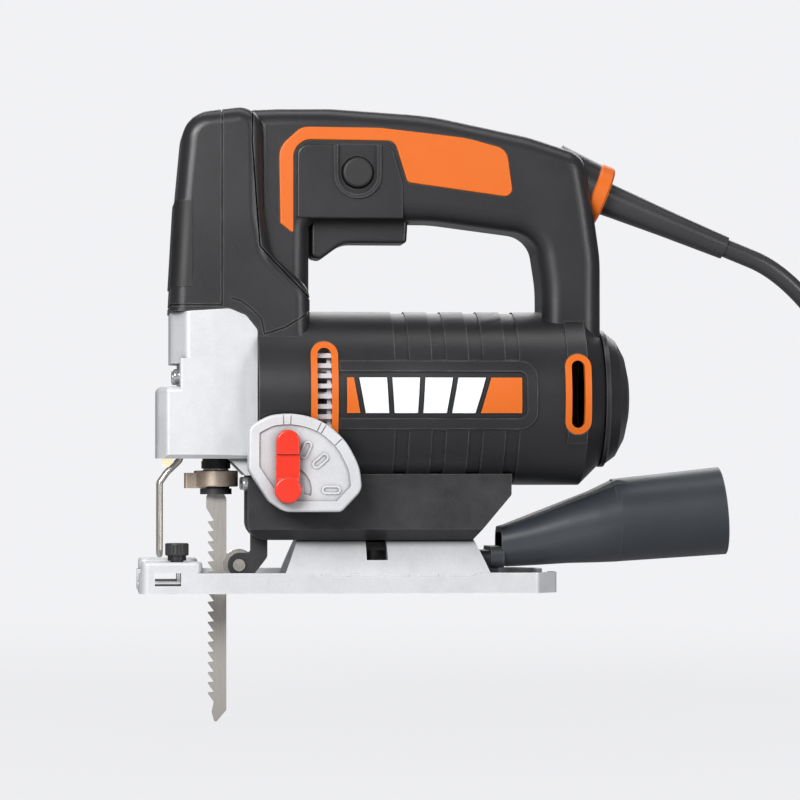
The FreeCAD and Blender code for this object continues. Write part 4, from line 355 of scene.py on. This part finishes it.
# %% Cast skin
def make_cast_skin():
    tree, given, result = new_group(
        "cast_skin",
        [("Colour", "NodeSocketColor", None), ("Dull Colour", "NodeSocketColor", None),
         ("Pit Scale", "NodeSocketFloat", 1500.0), ("Mottle Scale", "NodeSocketFloat", 60.0)],
        [("Colour", "NodeSocketColor"), ("Roughness", "NodeSocketFloat"), ("Height", "NodeSocketFloat")])
    where = add(tree, "ShaderNodeTexCoord").outputs["Object"]
    pit_scale = given.outputs["Pit Scale"]
    pits = add(tree, "ShaderNodeTexVoronoi", {"feature": "F1"}, Vector=where, Scale=pit_scale)
    skin = add(tree, "ShaderNodeTexNoise", Vector=where, Scale=pit_scale, Detail=4.0, Roughness=0.7)
    mottle = add(tree, "ShaderNodeTexNoise", Vector=where, Scale=given.outputs["Mottle Scale"], Detail=6.0,
                 Roughness=0.62)
    pit = stretch(tree, pits.outputs["Distance"], 0.05, 0.35, 0.0, 1.0)
    height = calculate(tree, "ADD", calculate(tree, "MULTIPLY", pit, 0.6), skin.outputs["Fac"])
    dull = stretch(tree, mottle.outputs["Fac"], 0.35, 0.72, 0.0, 1.0)
    fine = stretch(tree, skin.outputs["Fac"], 0.3, 0.7, 0.35, 0.0)
    mixed = calculate(tree, "ADD", calculate(tree, "MULTIPLY", dull, 0.65), fine)
    share = calculate(tree, "MINIMUM", mixed, 1.0)
    colour = blend_colours(tree, share, given.outputs["Colour"], given.outputs["Dull Colour"])
    rough = stretch(tree, share, 0.0, 1.0, 0.34, 0.52)
    for name, socket in (("Colour", colour), ("Roughness", rough), ("Height", height)):
        tree.links.new(socket, result.inputs[name])
    return tree


CAST_SKIN = make_cast_skin()

# %% [markdown]
# ### Brushed metal
# Ground and drawn steel carries fine lines along the way that it was worked. A noise squeezed hard
# across that way gives them.

# %% Brushed metal
def make_brushed():
    tree, given, result = new_group(
        "brushed_metal",
        [("Colour", "NodeSocketColor", None), ("Line Colour", "NodeSocketColor", None),
         ("Squeeze", "NodeSocketVector", (1.0, 1.0, 0.03)), ("Line Scale", "NodeSocketFloat", 3000.0),
         ("Smooth", "NodeSocketFloat", 0.22), ("Rough", "NodeSocketFloat", 0.42)],
        [("Colour", "NodeSocketColor"), ("Roughness", "NodeSocketFloat"), ("Height", "NodeSocketFloat")])
    where = add(tree, "ShaderNodeTexCoord").outputs["Object"]
    squeezed = add(tree, "ShaderNodeVectorMath", {"operation": "MULTIPLY"},
                   at0=where, at1=given.outputs["Squeeze"])
    lines = add(tree, "ShaderNodeTexNoise", Vector=squeezed.outputs[0], Scale=given.outputs["Line Scale"],
                Detail=3.0, Roughness=0.55)
    stain = add(tree, "ShaderNodeTexNoise", Vector=where, Scale=90.0, Detail=5.0, Roughness=0.6)
    share = stretch(tree, lines.outputs["Fac"], 0.36, 0.66, 0.0, 1.0)
    stained = calculate(tree, "MULTIPLY", stretch(tree, stain.outputs["Fac"], 0.35, 0.75, 0.4, 1.0), share)
    colour = blend_colours(tree, stained, given.outputs["Colour"], given.outputs["Line Colour"])
    rough = stretch(tree, stained, 0.0, 1.0, given.outputs["Smooth"], given.outputs["Rough"])
    for name, socket in (("Colour", colour), ("Roughness", rough), ("Height", lines.outputs["Fac"])):
        tree.links.new(socket, result.inputs[name])
    return tree


BRUSHED = make_brushed()

# %% [markdown]
# ## The finishes themselves
# A finish is one material: a group for its skin, edge wear and a painted edge highlight over that, a painted
# crevice shade if one is given, and a Principled shader whose plain numbers are set on its own sockets.

# %% A helper for finishes
def colour_of(hex_code):
    """A colour as paint charts write it, made linear for the renderer, with an alpha of 1."""
    parts = [int(hex_code[i:i + 2], 16) / 255 for i in (1, 3, 5)]
    return tuple(p / 12.92 if p <= 0.04045 else ((p + 0.055) / 1.055) ** 2.4 for p in parts) + (1.0,)


def finish(name, skin, skin_values, bump=0.2, bump_depth=0.00004, wear_and_highlight=None, deep=None, **shader_values):
    made = bpy.data.materials.new(name)
    made.use_nodes = True
    tree = made.node_tree
    shader = tree.nodes["Principled BSDF"]
    group = tree.nodes.new("ShaderNodeGroup")
    group.node_tree = skin
    for key, value in skin_values.items():
        group.inputs[key].default_value = value
    colour, rough = group.outputs["Colour"], group.outputs["Roughness"]
    # Pale edges: partly wear, partly a painted highlight.
    if wear_and_highlight:
        worn_and_highlit = tree.nodes.new("ShaderNodeGroup")
        worn_and_highlit.node_tree = EDGE_WEAR_AND_HIGHLIGHT
        for key, value in wear_and_highlight.items():
            worn_and_highlit.inputs[key].default_value = value
        tree.links.new(colour, worn_and_highlit.inputs["Colour"])
        tree.links.new(rough, worn_and_highlit.inputs["Roughness"])
        colour, rough = worn_and_highlit.outputs["Colour"], worn_and_highlit.outputs["Roughness"]
    # Painted shade in the hollows.
    if deep:
        shade = tree.nodes.new("ShaderNodeGroup")
        shade.node_tree = PAINTED_CREVICE_SHADE
        for key, value in deep.items():
            shade.inputs[key].default_value = value
        tree.links.new(colour, shade.inputs["Colour"])
        colour = shade.outputs["Colour"]
    tree.links.new(colour, shader.inputs["Base Color"])
    tree.links.new(rough, shader.inputs["Roughness"])
    relief = add(tree, "ShaderNodeBump", Strength=bump, Distance=bump_depth, Height=group.outputs["Height"])
    tree.links.new(relief.outputs["Normal"], shader.inputs["Normal"])
    for key, value in shader_values.items():
        shader.inputs[key.replace("_", " ")].default_value = value
    return made


# %% [markdown]
# ### Plastics and rubbers
# The shells are glass-filled nylon and the grip, pads and lead are soft rubber. One function makes
# them all from two close colours and two roughnesses, so that a family look comes out of a few
# numbers. Corners get their rub together with a painted highlight, and hollows get a painted shade.

# %% Plastics and rubbers
CLOUD_SCALE = 22.0
MOULD_RELIEF = 0.00006


def plastic(name, base, pale, smooth, rough, grain=2600.0, bump=0.35, wear_and_highlight=None, **values):
    return finish(name, MOULDED_GRAIN,
                  {"Colour": colour_of(base), "Pale Colour": colour_of(pale), "Grain Scale": grain,
                   "Cloud Scale": CLOUD_SCALE, "Smooth": smooth, "Rough": rough}, bump, MOULD_RELIEF, wear_and_highlight,
                  **values)


# The edge colour, partly wear and partly a painted highlight.
def rubbed_and_highlit(hex_code, amount, width=0.0007, rough=0.4):
    return {"Worn Colour": colour_of(hex_code), "Amount": amount, "Width": width, "Worn Roughness": rough}


# The colour of the painted shade in the hollows.
def painted_hollow_shade(hex_code, amount=0.8, reach=0.006):
    return {"Deep Colour": colour_of(hex_code), "Amount": amount, "Reach": reach}


# Each rubbed edge colour is partly wear and partly a painted highlight.
FINISHES = {
    # Each hollow colour below is a painted shade.
    "charcoal_shell": plastic("charcoal_shell", "#1f1f21", "#2e2e30", 0.3, 0.42, grain=2300, bump=0.6,
                              wear_and_highlight=rubbed_and_highlit("#7b7b7c", 0.55, 0.0008, 0.34),
                              deep=painted_hollow_shade("#0b0b0c", 0.95, 0.009)),
    "soft_black": plastic("soft_black", "#161618", "#202022", 0.44, 0.6, grain=3000, bump=0.4,
                          wear_and_highlight=rubbed_and_highlit("#48484a", 0.4)),
    "orange_trim": plastic("orange_trim", "#d2600a", "#da6c15", 0.34, 0.46, grain=3200, bump=0.22,
                           wear_and_highlight=rubbed_and_highlit("#f09a4c", 0.4, 0.0006), deep=painted_hollow_shade("#a8480a", 0.5, 0.003)),
    "white_print": plastic("white_print", "#eef0f2", "#dfe4ea", 0.3, 0.42, grain=3200, bump=0.12,
                           wear_and_highlight=rubbed_and_highlit("#ffffff", 0.3)),
    "light_plastic": plastic("light_plastic", "#c9cbd0", "#dcdee2", 0.3, 0.45, grain=2800, bump=0.15),
    "inner_plastic": plastic("inner_plastic", "#2f3033", "#3b3c40", 0.42, 0.55, grain=2600, bump=0.3,
                             wear_and_highlight=rubbed_and_highlit("#5a5b5e", 0.35)),
    "red_lever": plastic("red_lever", "#dc2a16", "#e63c26", 0.22, 0.34, grain=3000, bump=0.1,
                         wear_and_highlight=rubbed_and_highlit("#f47a60", 0.55, 0.0007, 0.25),
                         deep=painted_hollow_shade("#a81a0c", 0.5, 0.002), Coat_Weight=0.3, Coat_Roughness=0.2),
    "duct_plastic": plastic("duct_plastic", "#2c3035", "#3a3e43", 0.34, 0.48, grain=2400, bump=0.3,
                            wear_and_highlight=rubbed_and_highlit("#80827f", 0.5, 0.0009),
                            deep=painted_hollow_shade("#0c0d0f", 0.8, 0.01)),
    "cord_rubber": plastic("cord_rubber", "#303032", "#3d3d3f", 0.24, 0.36, grain=2000, bump=0.25,
                           wear_and_highlight=rubbed_and_highlit("#454547", 0.3)),
}

# %% [markdown]
# ### Metals
# Castings take the cast skin and everything ground, drawn or turned takes the brushed one. The
# squeeze says which way the lines run: a small number is the axis that they follow.

# %% Metals
CAST_RELIEF = 0.00007
LINE_RELIEF = 0.00002


def cast(name, base, dull, pits=1500.0, bump=0.35, wear_and_highlight=None, **values):
    return finish(name, CAST_SKIN,
                  {"Colour": colour_of(base), "Dull Colour": colour_of(dull), "Pit Scale": pits},
                  bump, CAST_RELIEF, wear_and_highlight, **values)


def ground(name, base, line, squeeze, smooth=0.22, rough=0.42, scale=3000.0, bump=0.12, wear_and_highlight=None):
    return finish(name, BRUSHED,
                  {"Colour": colour_of(base), "Line Colour": colour_of(line), "Squeeze": squeeze,
                   "Line Scale": scale, "Smooth": smooth, "Rough": rough}, bump, LINE_RELIEF, wear_and_highlight,
                  Metallic=0.8)


# Here too the rubbed edges are partly wear and partly a painted highlight.
FINISHES.update({
    # The castings' hollow colours are a painted shade.
    "cast_alloy": cast("cast_alloy", "#d9dadc", "#bcbec1", wear_and_highlight=rubbed_and_highlit("#fafafa", 0.6, 0.0008, 0.3),
                       deep=painted_hollow_shade("#5e5f61", 0.85, 0.004), Metallic=0.2),
    "black_cast": cast("black_cast", "#29292b", "#3a3a3c", pits=1100, bump=0.5,
                       wear_and_highlight=rubbed_and_highlit("#7c7a78", 0.5, 0.0006, 0.35),
                       deep=painted_hollow_shade("#070708", 0.95, 0.012), Metallic=0.2),
    "steel": ground("steel", "#d2cec6", "#aca79e", (1.0, 1.0, 0.04), wear_and_highlight=rubbed_and_highlit("#e8e6e2", 0.4)),
    "chrome_steel": ground("chrome_steel", "#d9dadd", "#bfc1c6", (1.0, 1.0, 1.0), 0.1, 0.2, bump=0.05),
    "blade_steel": ground("blade_steel", "#c4bfb8", "#a19c95", (1.0, 1.0, 0.035), 0.34, 0.5,
                          wear_and_highlight=rubbed_and_highlit("#cfccc7", 0.7, 0.0004, 0.25)),
    "bronze_steel": ground("bronze_steel", "#cdbdae", "#a89686", (0.3, 0.3, 1.0), 0.3, 0.45,
                           wear_and_highlight=rubbed_and_highlit("#b39a82", 0.5)),
    "bush_bronze": ground("bush_bronze", "#c49a5c", "#9c7840", (1.0, 1.0, 1.0), 0.35, 0.5),
    "laminations": ground("laminations", "#8d9096", "#5b5e64", (0.03, 0.03, 1.0), 0.35, 0.5),
    "copper": ground("copper", "#cf7a45", "#9a5228", (0.05, 1.0, 1.0), 0.25, 0.4, scale=2000),
})

# %% [markdown]
# ### Clear lens
# The work lamp's lens is clear acrylic. A plain transmitting shader is enough, because so small a
# piece shows only its glint, and a faint warm emission stands for the lamp behind it.

# %% Clear lens
LENS = bpy.data.materials.new("lens_clear")
LENS.use_nodes = True
for key, value in (("Base Color", colour_of("#fbf6e6")), ("Roughness", 0.08), ("Transmission Weight", 0.85),
                   ("IOR", 1.49), ("Emission Color", colour_of("#fff2cc")), ("Emission Strength", 0.4)):
    LENS.node_tree.nodes["Principled BSDF"].inputs[key].default_value = value
FINISHES["lens_clear"] = LENS
print(f"{len(FINISHES)} finishes")

# %% [markdown]
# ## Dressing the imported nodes
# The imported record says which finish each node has, so a loop dresses them all. Naming the nodes
# one by one here would have to be kept in step with the solid model by hand.

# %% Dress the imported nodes
slot_of = {row["node"]: row["material_slot"] for row in frame["record"]["subparts"]}
for node, piece in frame["nodes"].items():
    material = FINISHES[slot_of[node]]
    if piece.material_slots:
        for place in piece.material_slots:
            place.material = material
    else:
        piece.data.materials.append(material)
lead.data.materials.append(FINISHES["cord_rubber"])
print(f"{len(slot_of)} nodes dressed in {len(set(slot_of.values()))} finishes")

# %% [markdown]
# ## The studio
# A pale floor whose edge can't be seen, one large soft light in front and to the left, a weaker one
# on the right, a wide one above and one behind, which draws a bright line along the top of the handle
# and the barrel. The floor takes the saw's shadow near it and glows in the sky's own colour further
# out. A plain white floor would show a horizon.

# %% Floor
BACKDROP = (0.885, 0.887, 0.912, 1.0)
FLOOR_WIDTH = 14.0


def stage_material():
    made = bpy.data.materials.new("studio_floor")
    made.use_nodes = True
    tree = made.node_tree
    shader = tree.nodes["Principled BSDF"]
    shader.inputs["Base Color"].default_value = (0.42, 0.42, 0.43, 1.0)
    shader.inputs["Roughness"].default_value = 1.0
    shader.inputs["Specular IOR Level"].default_value = 0.0
    glow = add(tree, "ShaderNodeEmission", Color=BACKDROP, Strength=1.0)
    seen = add(tree, "ShaderNodeLightPath").outputs["Is Camera Ray"]
    where = add(tree, "ShaderNodeTexCoord").outputs["Object"]
    away = add(tree, "ShaderNodeVectorMath", {"operation": "LENGTH"}, at0=where).outputs["Value"]
    part = calculate(tree, "MULTIPLY", seen, stretch(tree, away, 0.25, 0.9, 0.9, 1.0))
    both = add(tree, "ShaderNodeMixShader", at0=part, at1=shader.outputs[0], at2=glow.outputs[0])
    tree.links.new(both.outputs[0], tree.nodes["Material Output"].inputs["Surface"])
    return made


def studio_floor():
    """A flat sheet, wide enough that no view finds its edge."""
    bm = bmesh.new()
    bmesh.ops.create_grid(bm, x_segments=1, y_segments=1, size=0.5)
    bmesh.ops.scale(bm, vec=(FLOOR_WIDTH, FLOOR_WIDTH, 1.0), verts=bm.verts)
    bmesh.ops.translate(bm, vec=(0.0, 0.0, (FLOOR - 0.1) * MM), verts=bm.verts)
    mesh = bpy.data.meshes.new("studio_floor")
    bm.to_mesh(mesh)
    bm.free()
    made = bpy.data.objects.new("studio_floor", mesh)
    mesh.materials.append(stage_material())
    bpy.context.scene.collection.objects.link(made)
    return made


floor = studio_floor()
print(f"floor {FLOOR_WIDTH / 2:.0f} m to each side")

# %% Lights and sky
MIDDLE = (0.07, 0.0, 0.09)


def soft_light(name, place, size, power):
    data = bpy.data.lights.new(name, "AREA")
    data.shape = "RECTANGLE"
    data.size, data.size_y = size
    data.energy = power
    made = bpy.data.objects.new(name, data)
    made.location = Vector(place)
    turned_to(made, Vector(MIDDLE))
    bpy.context.scene.collection.objects.link(made)
    return made


soft_light("key", (-0.5, -1.05, 0.55), (0.7, 0.45), 17.0)
soft_light("fill", (0.85, -0.95, 0.2), (0.35, 0.9), 6.0)
soft_light("top", (0.1, 0.05, 0.95), (1.1, 0.3), 2.6)
soft_light("back", (0.2, 0.9, 0.6), (1.0, 0.5), 4.5)

sky = bpy.data.worlds.new("studio_sky")
sky.use_nodes = True
bpy.context.scene.world = sky
tree = sky.node_tree
lit = tree.nodes["Background"]
lit.inputs["Color"].default_value = (0.95, 0.96, 1.0, 1.0)
lit.inputs["Strength"].default_value = 0.17
seen_sky = add(tree, "ShaderNodeBackground", Color=BACKDROP, Strength=1.0)
ray = add(tree, "ShaderNodeLightPath").outputs["Is Camera Ray"]
both = add(tree, "ShaderNodeMixShader", at0=ray, at1=lit.outputs[0], at2=seen_sky.outputs[0])
tree.links.new(both.outputs[0], tree.nodes["World Output"].inputs["Surface"])
bpy.context.scene.view_settings.view_transform = "Standard"
print("4 lights and a sky")
